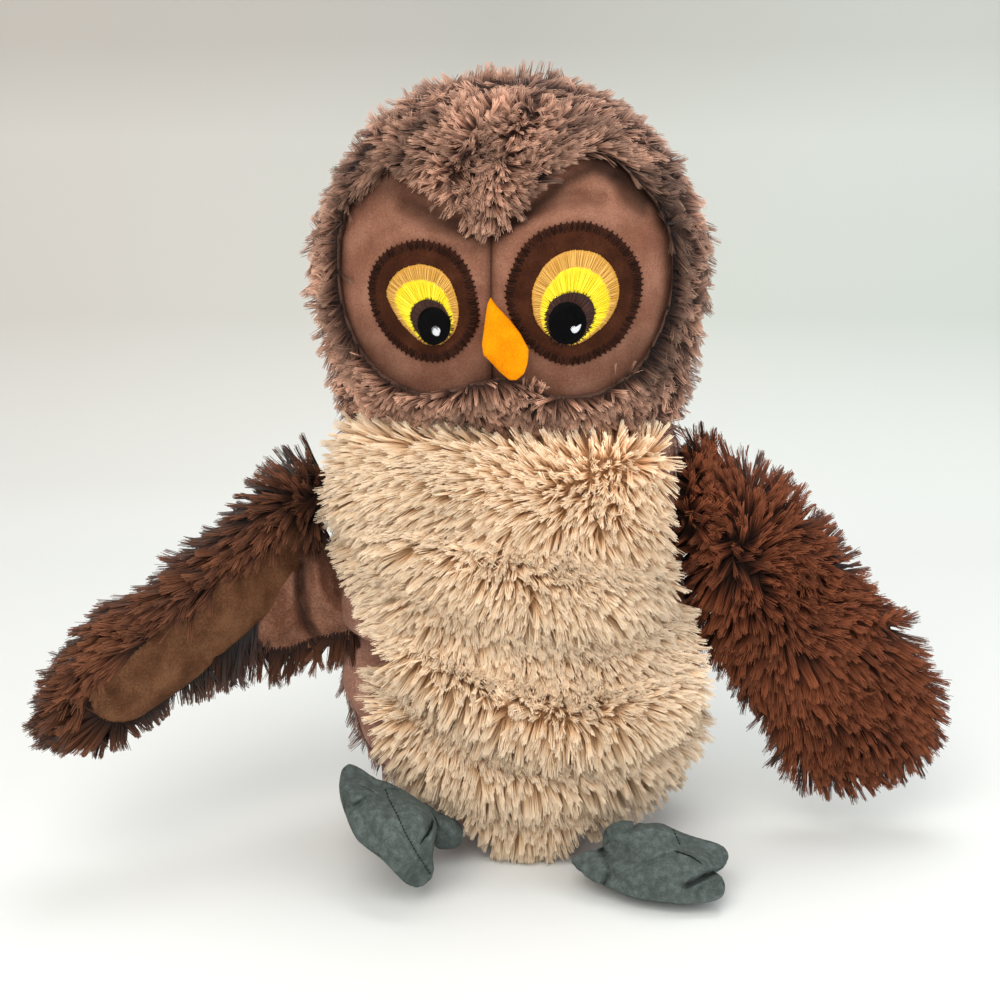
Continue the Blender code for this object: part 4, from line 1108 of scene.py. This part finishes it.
def satinFill(name, outline, height, values, material, seed):
    # Parallel stitches that cover an outline, with a slight dome
    rng = np.random.default_rng(seed)
    centre = outline.mean(0)
    across, along = math.cos(values["angle"]), math.sin(values["angle"])
    turn = np.array(((across, -along), (along, across)))
    flat = (outline - centre) @ turn
    lines = []
    for x in np.arange(flat[:, 0].min() + 0.1 * mm, flat[:, 0].max(), values["pitch"]):
        hits = [a[1] + (x - a[0]) / (b[0] - a[0]) * (b[1] - a[1])
                for a, b in zip(flat, np.roll(flat, -1, axis=0)) if (a[0] > x) != (b[0] > x)]
        if len(hits) < 2 or max(hits) - min(hits) < 0.4 * mm:
            continue
        low, high = min(hits) - rng.uniform(0, 0.2) * mm, max(hits) + rng.uniform(0, 0.2) * mm
        spots = np.stack([np.full(7, x), np.linspace(low, high, 7)], 1) @ turn.T + centre
        arch = np.array((-0.35, 0.02, 0.14, 0.18, 0.14, 0.02, -0.35)) * mm + rng.uniform(-0.04, 0.04) * mm
        lines.append(np.column_stack([spots, arch]))
    return layThreads(name, lines, height, values["radius"], rng, material)


def overcast(name, outline, height, values, material, seed):
    # The patch's edge sewn down with a close zigzag that leaves a jagged rim
    rng = np.random.default_rng(seed)
    count = 2 * int(lengthsAlong(closed(outline))[-1] / values["pitch"])
    marks = smoothLoop(outline, count)
    along = unit(np.roll(marks, -1, 0) - np.roll(marks, 1, 0))
    inwards = np.stack([-along[:, 1], along[:, 0]], 1)
    if np.sum(inwards * (outline.mean(0) - marks), axis=1).mean() < 0:
        inwards = -inwards
    depths = (-values["outside"], values["inside"])
    lines = []
    for k in range(count):
        other = (k + 1) % count
        start = marks[k] + inwards[k] * (depths[k % 2] + rng.normal() * 0.12 * mm)
        end = marks[other] + inwards[other] * (depths[1 - k % 2] + rng.normal() * 0.12 * mm)
        spots = start + (end - start) * np.linspace(0, 1, 6)[:, None]
        # Outside the patch the stitch goes down on to the velour
        outside = np.clip(-((spots - marks[k]) @ inwards[k]) / (0.8 * mm), 0, 1)
        arch = np.array((-0.5, 0.1, 0.22, 0.22, 0.1, -0.5)) * mm - outside * 0.85 * mm
        lines.append(np.column_stack([spots, arch]))
    return layThreads(name, lines, height, values["radius"], rng, material)


eyeStitches = {
    "ring": {"pitch": 0.50 * mm, "radius": 0.22 * mm, "overlap": 0.6 * mm, "past": (-0.1, 0.45)},
    "fill": {"pitch": 0.50 * mm, "radius": 0.30 * mm, "angle": 0.5},
    "overcast": {"pitch": 1.95 * mm, "radius": 0.40 * mm, "inside": 3.0 * mm, "outside": 0.9 * mm},
}
# Each disc: its name, its layer, how far it lies under its stitches, its thickness, its rings and its dome
eyeDiscs = [
    ("felt", "patch", 0, 1.2, 12, 0), ("gold_ground", "gold", 0.1, 0.6, 4, 0), ("yellow_ground", "yellow", 0.1, 0.5, 4, 0),
    ("ring", "ring", 0, 0.9, 6, 0), ("pupil_ground", "pupil", 0, 1.0, 6, 0.3), ("glint", "glint", 0, 0.8, 3, 0.2),
]
# Each ring of stitches: its name, its layer, the layer that it runs in to, its seed and how it differs from the others
eyeRings = [
    ("gold", "gold", "yellow", 61, {"overlap": 1.4 * mm}), ("yellow", "yellow", "ring", 62, {}),
    ("ring_stitches", "ring", "pupil", 63, {"past": (-0.2, 1.3), "pitch": 0.62 * mm}),
]
# Each layer's material, node and record slot
eyeLayers = {
    "patch": (eyeFelt, "patch", "eye_felt"), "gold": (goldThread, "iris_gold", "gold_thread"),
    "yellow": (yellowThread, "iris_yellow", "yellow_thread"), "ring": (brownThread, "pupil_ring", "brown_thread"),
    "pupil": (blackThread, "pupil", "black_thread"), "glint": (whiteThread, "glint", "white_thread"),
}
eyePieces = {}
for side in ("left", "right"):
    loops = {layer: smoothLoop(np.array(points) * mm, 96) for layer, points in eyeOutlines[side].items()}
    loops["glint"] = smoothLoop(loops["glint"], 32)
    up = {layer: height * mm for layer, height in eyeHeights.items()}
    made = {layer: [] for layer in eyeLayers}
    for word, layer, under, thick, rings, puff in eyeDiscs:
        made[layer].append(flatDisc(f"{side}_eye_{word}", loops[layer], up[layer] - under * mm, thick * mm,
                                    eyeLayers[layer][0], rings, puff * mm))
    made["patch"].append(overcast(f"{side}_eye_overcast", loops["patch"], up["patch"], eyeStitches["overcast"],
                                  overcastThread, 60))
    for word, layer, inner, seed, change in eyeRings:
        made[layer].append(satinRing(f"{side}_eye_{word}", loops[layer], loops[inner], up[layer],
                                     dict(eyeStitches["ring"], **change), eyeLayers[layer][0], seed))
    made["pupil"].append(satinFill(f"{side}_eye_pupil_stitches", loops["pupil"], up["pupil"] + 0.15 * mm,
                                   eyeStitches["fill"], blackThread, 64))
    eyePieces[side] = made
print("eyes sewn")


# Beak: felt, folded along a soft crease

beakOutline = [(-0.6, 50.0), (1.5, 47.1), (5.7, 42.8), (9.8, 37.6), (12.7, 32.2), (12.6, 28.9), (12.2, 26.8),
               (11.3, 24.0), (8.7, 21.7), (6.3, 21.6), (2.8, 24.4), (-0.5, 27.9), (-3.0, 30.3), (-3.5, 33.9),
               (-2.9, 38.3), (-2.3, 43.2), (-1.6, 47.9)]
# It hangs from the seam by its upper end, in front of the patches
beakValues = {"thick": 0.0022, "puff": 0.0028, "back": 0.0624, "tip": 0.0014, "middle": (0.004, 0.035), "rings": 9,
              "around": 96, "root": (0.0006, 0.0405), "rootShare": 0.42, "rootDepths": (0.0562, 0.0609)}


def makeBeak():
    values = beakValues
    outline = evenLoop(np.array(beakOutline) * mm, values["around"])
    away = outline - np.array(values["middle"])
    rows = []
    for depth in values["rootDepths"]:
        flat = np.array(values["root"]) + away * values["rootShare"]
        rows.append(np.stack([flat[:, 0], np.full(len(flat), -depth), flat[:, 1]], 1))
    puff = values["puff"] / values["thick"]
    profile = [(0.90, 0.0), (1.0, 0.25), (1.0, 0.75)]
    profile += [(share, 1 + puff * up**1.5) for up, share in quarterTurn(values["rings"])]
    for share, height in profile:
        flat = np.array(values["middle"]) + away * share
        low = np.clip((0.0505 - flat[:, 1]) / 0.029, 0, 1)
        y = -values["back"] - values["tip"] * low**1.5 - values["thick"] * height
        rows.append(np.stack([flat[:, 0], y, flat[:, 1]], 1))
    caps = [rows[-1].mean(0)[None] - np.array([[0, 0.00005, 0]]), rows[0].mean(0)[None]]
    return ringsMesh("beak_felt", [outOfFrame(row, headPlace) for row in rows], [outOfFrame(cap, headPlace) for cap in caps],
                     beakFelt)


beak = makeBeak()


# Hood

hoodValues = {"voxel": 0.0024, "smoothing": 6, "inset": 0.0020, "tuckHeight": 0.015, "tuck": 0.20, "middle": (0, 0, 0.055),
              "pileFrom": 0.0015}


def hoodFacing(points, normals):
    # 1 on its outside and -1 on its inside
    return np.sum(unit(points - outOfFrame([hoodValues["middle"]], headPlace)[0]) * normals, axis=1)


def makeHood():
    hood = joinedCopy("hood_backing", ["head_hood"])
    addModifier(hood, "REMESH", mode="VOXEL", voxel_size=hoodValues["voxel"])
    addModifier(hood, "SMOOTH", factor=0.5, iterations=hoodValues["smoothing"])
    applyModifiers(hood)
    points, normals = pointsOf(hood), normalsOf(hood)
    points -= normals * (hoodValues["inset"] * ramp(hoodFacing(points, normals), 0.1, 0.6))[:, None]
    # The neck seam draws the cloth in
    own = inHead(points)
    own[:, 1] *= 1 - hoodValues["tuck"] * (1 - ramp(own[:, 2], 0, hoodValues["tuckHeight"]))
    setPoints(hood, outOfFrame(own, headPlace))
    hood.data.shade_smooth()
    hood.data.materials.append(hoodBacking)
    return hood


hood = makeHood()


def hoodArea(points, normals):
    return (hoodFacing(points, normals) > 0.36) & (inHead(points)[:, 2] > hoodValues["pileFrom"])


# Millimetres in the head's frame: x, z and the way the pile lies there, seen from the front
hoodCombs = [
    (-62, 95, -0.7, -0.4), (-48, 107, -0.8, -0.2), (-28, 114, -0.7, -0.1), (-12, 118, -0.5, 0.0), (0, 112, -0.2, -0.2),
    (-10, 103, -0.5, -0.3), (12, 116, 0.4, 0.1), (28, 112, 0.7, 0.0), (45, 105, 0.8, -0.1), (62, 95, 0.8, -0.3),
    (-54, 93, -0.4, -0.9), (-40, 97, -0.35, -0.9), (-30, 93, -0.2, -0.95), (-18, 88, -0.2, -0.95), (-16, 97, -0.5, -0.5),
    (-3, 80, 0.0, -0.7), (-2, 95, 0.0, -0.7), (8, 86, 0.5, -0.2), (10, 100, 0.4, -0.2), (22, 95, 0.9, 0.3),
    (26, 104, 0.8, 0.1), (35, 100, 0.9, 0.1), (50, 93, 0.9, -0.2),
    (-68, 75, -0.9, -0.3), (-70, 50, -0.9, -0.4), (-64, 28, -0.8, -0.6), (66, 75, 0.9, -0.3), (70, 50, 0.8, -0.5),
    (64, 28, 0.7, -0.6), (-60, 60, -1.0, -0.2), (-58, 35, -0.9, -0.4), (63, 60, 1.0, -0.3), (60, 35, 0.9, -0.4),
    (-45, 12, -0.8, -0.5), (-25, 10, -0.5, -0.5), (0, 16, 0.0, -0.6), (15, 12, 0.4, -0.5), (40, 12, 0.8, -0.5),
    (58, 16, 0.9, -0.4),
]
# Painted shade where the pile parts and under the hood's edge: the line, how wide and how dark
hoodShadeLines = [
    ([(-58, 92), (-46, 96), (-30, 97)], 4.5, 0.55), ([(-29, 104), (-21, 110)], 4.5, 0.60),
    ([(9, 97), (18, 104), (28, 107)], 3.5, 0.45), ([(8, 84), (20, 92), (34, 96), (48, 92)], 3.0, 0.55),
    ([(5, 122), (20, 123)], 4.0, 0.45), ([(-12, 96), (-4, 100)], 3.0, 0.35),
    ([(-44, 108), (-38, 112)], 3.0, 0.35), ([(34, 104), (42, 100)], 3.0, 0.30),
]
rightBrow = [(-50, 91), (-30, 91), (-14, 86)]


def hoodComb(points, normals):
    own = inHead(points)
    front = ramp(-own[:, 1], -0.01, 0.025)
    flat = combField(own[:, ::2], hoodCombs, 0.009)
    turned = np.stack([flat[:, 0], 0.5 * np.abs(flat[:, 0]), flat[:, 1]], 1)
    behind = np.stack([own[:, 0] * 6, np.zeros(len(own)), -np.ones(len(own))], 1)
    comb = turned * front[:, None] + behind * (1 - front)[:, None]
    comb += np.array((0.35, -0.15, 0)) * ramp(normals[:, 2], 0.6, 0.9)[:, None]
    flat = own[:, ::2] / mm
    x, z = flat.T
    # Longer where it hangs over the right brow, and shorter under the chin
    fringe = near(lineDistance(flat, rightBrow), 5) * front
    chin = (1 - ramp(z, 10, 24)) * front
    length = (8.4 + 2.6 * fringe - 1.0 * chin) * mm
    sides = ramp(np.abs(x), 44, 56)
    stands = (1 - 0.35 * sides - 0.5 * fringe) * (1 - 0.2 * chin)
    # Painted shade beside the face, more so at the left, and along the lines above; painted light on its outer sides
    # and under the chin
    left = ramp(x, 30, 50)
    hem = near(lineDistance(own[:, ::2], closed(faceLoop)), 0.0055 + 0.0022 * left) * front
    outer = 0.30 * ramp(np.abs(x), 54, 64) + 0.26 * ramp(-x, 42, 58) + 0.20 * ramp(x, 62, 68)
    shade = 0.96 + outer * front + 0.14 * chin - (0.72 + 0.12 * left) * hem * sides
    for line, wide, dark in hoodShadeLines:
        shade -= dark * near(lineDistance(flat, line), wide) * front
    return comb, length, stands, np.clip(shade, 0.18, 1.45)


depthOf = lambda points: inHead(points)[:, 1]
isUpper = lambda points: inHead(points)[:, 2] > 0.080
inFront = between(-1, -0.035, depthOf)
headCuts = [lambda p: inFront(p) & isUpper(p), lambda p: inFront(p) & ~isUpper(p), between(-0.035, 0.012, depthOf),
            between(0.012, 1, depthOf)]
headPiles = growBands("hood_pile", hood, "head", headCuts, hoodArea, hoodComb, headPile)
print("head pile grown")


# Wings, each in its own frame: X along it from the shoulder, Z out of its plush side

wingAlong = {"left": (0.51221665, -0.10452846, -0.85247160), "right": (-0.64358228, -0.5, -0.57948410)}
wingValues = {"voxel": 0.0024, "smoothing": 5, "shrink": 0.0035, "pressure": 4.0, "stiffness": 12.0, "cap": 0.0025,
              "wall": 0.0008}
# Millimetres in the wing's frame. The lining meets the plush along this line, and the velour is seen below it.
liningEdge = [(-30, -10), (4, 0), (27, 4), (50, 7), (76, 10), (94, 11), (106, 9), (116, 6)]


def wingPlace(side):
    joint = joints[f"{side}_wing_flap"]
    out = Vector(joint["axis"]).normalized()
    along = Vector(wingAlong[side])
    along = (along - out * along.dot(out)).normalized()
    return Matrix.Translation(Vector(joint["pos_m"])) @ Matrix((along, out.cross(along), out)).transposed().to_4x4()


wingPlaces = {side: wingPlace(side) for side in ("left", "right")}
# How wide each wing is above and below its middle at these places along it, as a share of the cut cloth
wingWidths = {
    "right": {"high": [(-20, 1.0), (0, 0.66), (20, 0.50), (48, 0.54), (62, 0.76), (75, 0.88), (92, 0.76), (122, 0.60)],
              "low": [(-20, 1.0), (5, 1.40), (15, 1.45), (28, 1.20), (45, 1.02), (65, 0.95), (91, 0.82), (122, 0.65)]},
    "left": {"high": [(-20, 0.9), (0, 0.80), (20, 0.76), (45, 0.84), (60, 0.92), (75, 1.04), (100, 1.0), (122, 1.0)],
             "low": [(-20, 1.3), (15, 1.40), (40, 1.42), (60, 1.30), (75, 1.28), (105, 1.70), (122, 1.9)]},
}


def bendWing(form, side):
    # The filled bag sags and is not as wide at its tip as it was cut
    place = wingPlaces[side]
    own = intoFrame(pointsOf(form), place) / mm
    x, y, z = own.T.copy()
    high, low = (np.interp(x, *np.array(wingWidths[side][word]).T) for word in ("high", "low"))
    own[:, 1] = y * np.where(y > 0, high, low)
    if side == "right":
        own[:, 0] = np.where(x > 60, 60 + (x - 60) * 0.84, x)
        own[:, 0] -= 15 * (1 - ramp(x, -20, 6)) * ramp(y, -15, 4)
        # Dents in the lining
        for across, depth, size in ((58, 3.0, 7), (22, 2.5, 6)):
            own[:, 2] += depth * near(x - across - y * 0.3, size) * ramp(-z, 1, 6)
    else:
        own[:, 0] -= 14 * (1 - ramp(x, -20, 8)) * ramp(y, -18, 10)
        own[:, 0] += 7 * ramp(x, 80, 122)
        own[:, 1] -= 2 * (1 - ramp(x, 70, 95)) + 13 * (1 - ramp(x, -14, 20))
        # A hollow where the wing bends
        own[:, 2] -= 3.0 * near(x - 48, 9) * ramp(z, 1, 8)
    setPoints(form, outOfFrame(own * mm, place))


def leftWingComb(x, y, own):
    # The pile whirls out of one place near the shoulder
    away = own - np.array((30.0, -6.0, 0.0))
    heading = away / (np.linalg.norm(away[:, :2], axis=1, keepdims=True) + 16) * 0.8 + np.array((0.22, 0.0, 0.0))
    heading *= 1 - 0.40 * (ramp(x, 72, 95) * (1 - ramp(x, 108, 120)))[:, None]
    upper = ramp(y, 2, 14) * (1 - ramp(x, 60, 80))
    return heading, 16.5 - 4.0 * upper - 2.5 * ramp(x, 90, 120), 1 - 0.35 * upper


def rightWingComb(x, y, own):
    # Short at the tip and along the lower edge, and turned up at the shoulder
    upper = ramp(y, -16, -1)
    heading = np.array((0.95, 0.38, 0.0)) * upper[:, None] + np.array((0.58, -0.81, 0.0)) * (1 - upper)[:, None]
    shoulder = ((1 - ramp(x, -14, 6)) * ramp(y, -6, 6))[:, None]
    heading = heading * (1 - shoulder) + np.array((-0.3, 0.6, 0)) * shoulder
    return heading, 17.0 - 10.5 * ramp(x, 48, 75) * (1 - upper) + 1.5 * ramp(x, 88, 105) * upper, 1 - 0.45 * upper


def makeWing(side, combOf, material):
    place = wingPlaces[side]
    form = stuffForm(f"{side}WingForm", [f"{side}_wing_plush", f"{side}_wing_lining", f"{side}_wing_filling"], wingValues)
    bendWing(form, side)
    line = np.array(liningEdge) * mm

    def isLining(points, normals):
        own = intoFrame(points, place)
        # The right wing's plush wraps over its upper edge
        edge = np.interp(own[:, 0], line[:, 0], line[:, 1]) if side == "right" else 1.0
        return (own[:, 2] < -0.002) & (own[:, 1] < edge)

    def comb(points, normals):
        own = intoFrame(points, place) / mm
        heading, length, stands = combOf(own[:, 0], own[:, 1], own)
        heading[:, 2] = 0
        return heading @ np.array(place.to_3x3()).T, length * mm, stands, 1.0

    def area(points, normals):
        own = intoFrame(points, place)
        # The right wing's lower edge has only tufts, past its fringe
        tufts = 0.5 + 0.5 * np.sin(own[:, 0] / 0.0042) * np.sin(own[:, 0] / 0.0101 + 1)
        sparse = ramp(own[:, 0], 0.040, 0.060) * (1 - ramp(own[:, 1], -0.014, -0.002)) if side == "right" else 0
        return ~isLining(points, normals) * (1 - 0.9 * sparse * (1 - 0.5 * tufts))

    lining = partOf(form, f"{side}_wing_velour", isLining, wingVelour, wingValues["wall"])
    backing = partOf(form, f"{side}_wing_backing", lambda p, n: ~isLining(p, n), wingBacking, wingValues["wall"])
    along = lambda points: intoFrame(points, place)[:, 0]
    cuts = [between(low, high, along) for low, high in ((-1, 0.035), (0.035, 0.075), (0.075, 1))]
    piles = growBands(f"{side}_wing_pile", form, "wing", cuts, area, comb, material)
    return {"form": form, "lining": lining, "backing": backing, "piles": piles}


wingPieces = {"left": makeWing("left", leftWingComb, leftWingPile), "right": makeWing("right", rightWingComb, rightWingPile)}
print("wings made")


# Feet

footValues = {"voxel": 0.0014, "smoothing": 5, "shrink": 0.0008, "pressure": 4.0, "stiffness": 15.0, "cap": 0.0012,
              "lobe": 13}
legValues = {"voxel": 0.0012, "smoothing": 3, "shrink": 0.0002, "pressure": 2.0, "stiffness": 15.0, "cap": 0.0005,
             "back": 0.006}
# Each foot's outline, as the camera sees it
footOutlines = {
    "right": {
        "foot": [(336, 776), (338, 768), (344, 764), (353, 764), (364, 771), (376, 778), (389, 781), (405, 790),
                 (420, 800), (432, 812), (438, 826), (436, 845), (435, 862), (435, 876), (423, 885), (411, 889),
                 (402, 884), (392, 873), (380, 860), (368, 850), (357, 840), (348, 824), (340, 805), (336, 790)],
        "leg": [(424, 803), (438, 811), (456, 820), (464, 834), (460, 846), (447, 850), (436, 848), (428, 835), (420, 818)],
    },
    "left": {
        "foot": [(565, 864), (570, 857), (582, 853), (595, 851), (606, 842), (614, 832), (630, 826), (648, 823),
                 (662, 823), (674, 828), (690, 834), (709, 840), (722, 845), (728, 853), (728, 864), (728, 880),
                 (725, 893), (717, 900), (701, 904), (680, 905), (649, 901), (624, 895), (607, 888), (586, 881),
                 (571, 873)],
        "leg": [(604, 850), (603, 834), (611, 824), (625, 820), (641, 822), (656, 827), (658, 842), (640, 852), (618, 858)],
    },
}
# Creases and swellings there: the line, how far from it and how deep in millimetres (a swelling is below 0)
footCreases = {
    "right": [
        ([(342, 766), (350, 778), (361, 788), (372, 791)], 3.0, 3.0),
        ([(342, 807), (354, 807), (365, 801), (373, 792)], 3.0, 3.0),
        ([(347, 788), (356, 797)], 7, -1.8), ([(372, 858), (388, 858), (402, 862)], 4, 1.0),
        ([(386, 788), (398, 815), (414, 849), (432, 878)], 2.0, 0.9), ([(380, 800), (386, 840)], 9, -1.2),
    ],
    "left": [
        ([(686, 886), (704, 877), (728, 867)], 2.6, 6.0), ([(702, 890), (726, 886)], 8, 3.5),
        ([(601, 848), (606, 860), (611, 872), (603, 886)], 3.0, 4.0),
        ([(616, 876), (630, 872), (646, 865), (664, 857), (682, 852)], 2.6, 1.6),
        ([(634, 884), (662, 873), (690, 864), (714, 857)], 9, -2.2), ([(574, 866), (592, 872)], 6, -1.0),
        ([(667, 824), (674, 832), (681, 848)], 2.0, 1.2), ([(690, 846), (704, 850)], 4, 0.8),
    ],
}
# The seams that are sewn in black there
footSeams = {
    "right": [(385, 789), (389, 800), (397, 815), (405, 833), (414, 849), (424, 864), (433, 878)],
    "left": [(668, 824), (673, 830), (677, 838), (681, 848)],
}


def shapeTo(item, outline):
    # Stretches a form about its middle until the camera sees it in this outline
    outline = smoothLoop(outline, 120)
    seen, depth = seenAt(pointsOf(item))
    centre = outline.mean(0)
    away = seen - centre
    turn = np.arctan2(away[:, 1], away[:, 0])
    marks = np.linspace(-math.pi, math.pi, 61)
    rim = np.zeros(60)
    np.maximum.at(rim, np.clip(np.digitize(turn, marks) - 1, 0, 59), np.linalg.norm(away, axis=1))
    rim = (np.roll(rim, 1) + 2 * rim + np.roll(rim, -1)) / 4
    middles = (marks[1:] + marks[:-1]) / 2
    aim = np.array([rayHit(centre, angle, outline) for angle in middles])
    factor = np.interp(turn, middles, aim / rim, period=2 * math.pi)
    setPoints(item, placeSeen(centre + away * factor[:, None], depth))


def fillHollows(item, reach):
    # Brings the hollows between lobes up to the lobes, towards the camera
    seen, depth = seenAt(pointsOf(item))
    facing = -(normalsOf(item) @ lookAlong)
    front = np.nonzero(facing > 0.05)[0]
    tree = KDTree(len(front))
    for k, vertex in enumerate(front):
        tree.insert((*seen[vertex], 0), k)
    tree.balance()
    level = depth[front]
    beside = [[found[1] for found in tree.find_range((*seen[vertex], 0), reach)] for vertex in front]
    for smoothed in (lambda depths: np.percentile(depths, 12), np.mean):
        level = np.array([smoothed(level[group]) for group in beside])
    depth[front] += (np.minimum(depth[front], level) - depth[front]) * ramp(facing[front], 0.05, 0.35)
    setPoints(item, placeSeen(seen, depth))


def pressCreases(item, creases):
    seen, depth = seenAt(pointsOf(item))
    facing = ramp(-(normalsOf(item) @ lookAlong), 0.0, 0.4)
    for line, wide, deep in creases:
        depth += deep * mm * facing * near(lineDistance(seen, line), wide)
    setPoints(item, placeSeen(seen, depth))


def sewSeam(name, item, line, values, material):
    # Single stitches along a line that the camera sees, laid on the cloth
    tree = BVHTree.FromPolygons([Vector(p) for p in pointsOf(item)], [list(face.vertices) for face in item.data.polygons])
    line = np.array(line, float)
    eye = np.array(cameraValues["place"])
    lines = []
    for start in np.arange(0, lengthsAlong(line)[-1] - values["pitch"], values["pitch"]):
        spots = pointsAlong(line, np.linspace(start, start + values["pitch"] * values["share"], 5))
        hits = [tree.ray_cast(Vector(eye), Vector(ray))[:2] for ray in placeSeen(spots, np.full(5, 1.0)) - eye]
        if all(hit[0] is not None for hit in hits):
            lift = np.array((-0.5, 0.6, 1.0, 0.6, -0.5)) * values["radius"]
            lines.append([np.array(spot) + np.array(out) * up for (spot, out), up in zip(hits, lift)])
    return threadMesh(name, np.array(lines), values["radius"], np.linspace(0, 1, len(lines)), material)


seamStitches = {"pitch": 3.6, "share": 0.8, "radius": 0.26 * mm}


def finishFoot(item, outline):
    shapeTo(item, outline)
    points = pointsOf(item)
    points[:, 2] = np.maximum(points[:, 2], 0.4 * mm)
    setPoints(item, points)
    item.data.materials.append(footVelour)


def makeFoot(side):
    foot = stuffForm(f"{side}_foot", [f"{side}_foot_upper", f"{side}_foot_sole", f"{side}_foot_filling"], footValues)
    fillHollows(foot, footValues["lobe"])
    addModifier(foot, "SMOOTH", factor=0.5, iterations=6)
    applyModifiers(foot)
    finishFoot(foot, footOutlines[side]["foot"])
    pressCreases(foot, footCreases[side])
    leg = stuffForm(f"{side}_ankle", [f"{side}_leg"], legValues)
    setPoints(leg, pointsOf(leg) + np.array((0, legValues["back"], 0)))
    finishFoot(leg, footOutlines[side]["leg"])
    seam = sewSeam(f"{side}_foot_seam", foot, footSeams[side], seamStitches, seamThread)
    return {"foot": foot, "leg": leg, "seam": seam}


footPieces = {side: makeFoot(side) for side in ("left", "right")}
print("feet made")


# The gusset in the right armpit: velour that hangs slack between the lining and the body

gussetValues = {"depth": 0.6935, "wall": 0.0012, "rings": 26, "around": 110, "middle": (296, 604), "slack": 3.0,
                "bodyEnd": (-0.064, -0.03, 0.10), "wingEnd": (-0.095, -0.03, 0.10)}
gussetOutline = [(286, 536), (318, 540), (342, 556), (354, 590), (358, 620), (354, 638), (334, 646), (310, 648),
                 (292, 656), (268, 657), (246, 648), (232, 632), (244, 610), (262, 584), (272, 556)]
# Its folds as the camera sees them: the line, how wide and how far out in millimetres
gussetFolds = [
    ([(272, 634), (286, 626)], 17, 7.0), ([(316, 560), (318, 584), (326, 604), (344, 616)], 9, 7.0),
    ([(300, 566), (301, 598), (306, 622), (318, 640)], 5, -6.0), ([(334, 566), (342, 596)], 4, -4.0),
]
# Painted shade on it, in its folds and along its top and edges: the line, how wide and how dark
gussetShades = [
    ([(300, 566), (301, 598), (306, 622), (318, 640)], 6, 0.65), ([(286, 548), (306, 552), (330, 548)], 16, 0.65),
    ([(334, 566), (344, 598)], 5, 0.5), ([(330, 634), (352, 626)], 6, 0.4), ([(352, 560), (360, 640)], 8, 0.4),
]


def makeGusset():
    outline = smoothLoop(gussetOutline, gussetValues["around"])
    count, middle = len(outline), np.array(gussetValues["middle"], float)
    shares = np.linspace(1, 0, gussetValues["rings"], endpoint=False)
    seen = np.concatenate([middle + (outline - middle) * share for share in shares] + [middle[None]])
    bulge = np.concatenate([np.full(count, 1 - share**3) for share in shares] + [[1.0]])
    out = gussetValues["slack"] * bulge
    for line, wide, far in gussetFolds:
        out += far * bulge * near(lineDistance(seen, line), wide)
    last = len(seen) - 1 - count
    caps = [(last + i, len(seen) - 1, last + (i + 1) % count) for i in range(count)]
    points = placeSeen(seen, gussetValues["depth"] - out * mm)
    item = meshOf("right_gusset", points, [bandFaces(len(shares), count, turned=True), caps], gussetVelourInShade)
    if normalsOf(item)[:, 1].mean() > 0:
        item.data.flip_normals()
    addModifier(item, "SOLIDIFY", thickness=gussetValues["wall"], offset=-1)
    applyModifiers(item)
    setPaintedShade(item, seenAt(pointsOf(item))[0], gussetShades)
    return item


gusset = makeGusset()
# Dark pile hangs over its lower edge
fringeLine = [(244, 647), (268, 656), (292, 655), (312, 646), (352, 638)]
lowEdge = lambda p, n: (lineDistance(seenAt(p)[0], fringeLine) < 9) & (n[:, 1] < 0.1)
# The fringe hangs straight down, with a painted shade of 0.8
hangingDown = lambda p, n: (np.tile((-0.15, -0.1, -1.0), (len(p), 1)), 0.0140, 1.0, 0.8)
everywhere = between(-1, 1, heightOf)
gussetFringe = growBands("right_gusset_fringe", gusset, "fringe", [everywhere], lowEdge, hangingDown, rightWingPile)[0]
print("gusset made")


# Which body each piece moves with, and the frame nodes it stands for, which are hidden


def settle(pieces, body, slot, *nodes, fill=None):
    for piece in pieces:
        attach(piece, body)
        if nodes:
            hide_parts(*nodes)


settle([bellySkin], "body", "belly_plush", "belly_panel", "body_filling", "pellet_pouch", fill=0.5)
settle([backSkin], "body", "mottled_plush", "back_cover", fill=0.5)
settle(bellyPiles, "body", "belly_plush")
settle(backPiles, "body", "mottled_plush")
settle([hood], "head", "mottled_plush", "head_hood", "head_filling", fill=0.7)
settle(headPiles, "head", "mottled_plush")
settle([beak], "head", "beak_felt", "beak")
for side in ("left", "right"):
    settle([facePanels[side]], "head", "face_velour", f"{side}_face_panel", fill=0.7)
    for layer, (material, node, slot) in eyeLayers.items():
        settle(eyePieces[side][layer], "head", slot, f"{side}_eye_{node}")
    wing, made = f"{side}_wing", wingPieces[side]
    settle([made["lining"]], wing, "wing_velour", f"{side}_wing_lining", fill=0.5)
    settle([made["backing"]], wing, "wing_plush", f"{side}_wing_plush", f"{side}_wing_filling", fill=0.5)
    settle(made["piles"], wing, "wing_plush")
    foot, made = f"{side}_foot", footPieces[side]
    settle([made["seam"]], foot, "black_thread")
    settle([made["foot"]], foot, "foot_velour", f"{side}_foot_upper", f"{side}_foot_sole", f"{side}_foot_filling", fill=0.8)
    settle([made["leg"]], foot, "foot_velour", f"{side}_leg", fill=0.8)
for piece, slot in ((gusset, "wing_velour"), (gussetFringe, "wing_plush")):
    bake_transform(piece)

for form in [bodyForm] + [made["form"] for made in wingPieces.values()]:
    bpy.data.objects.remove(form)

print("done")
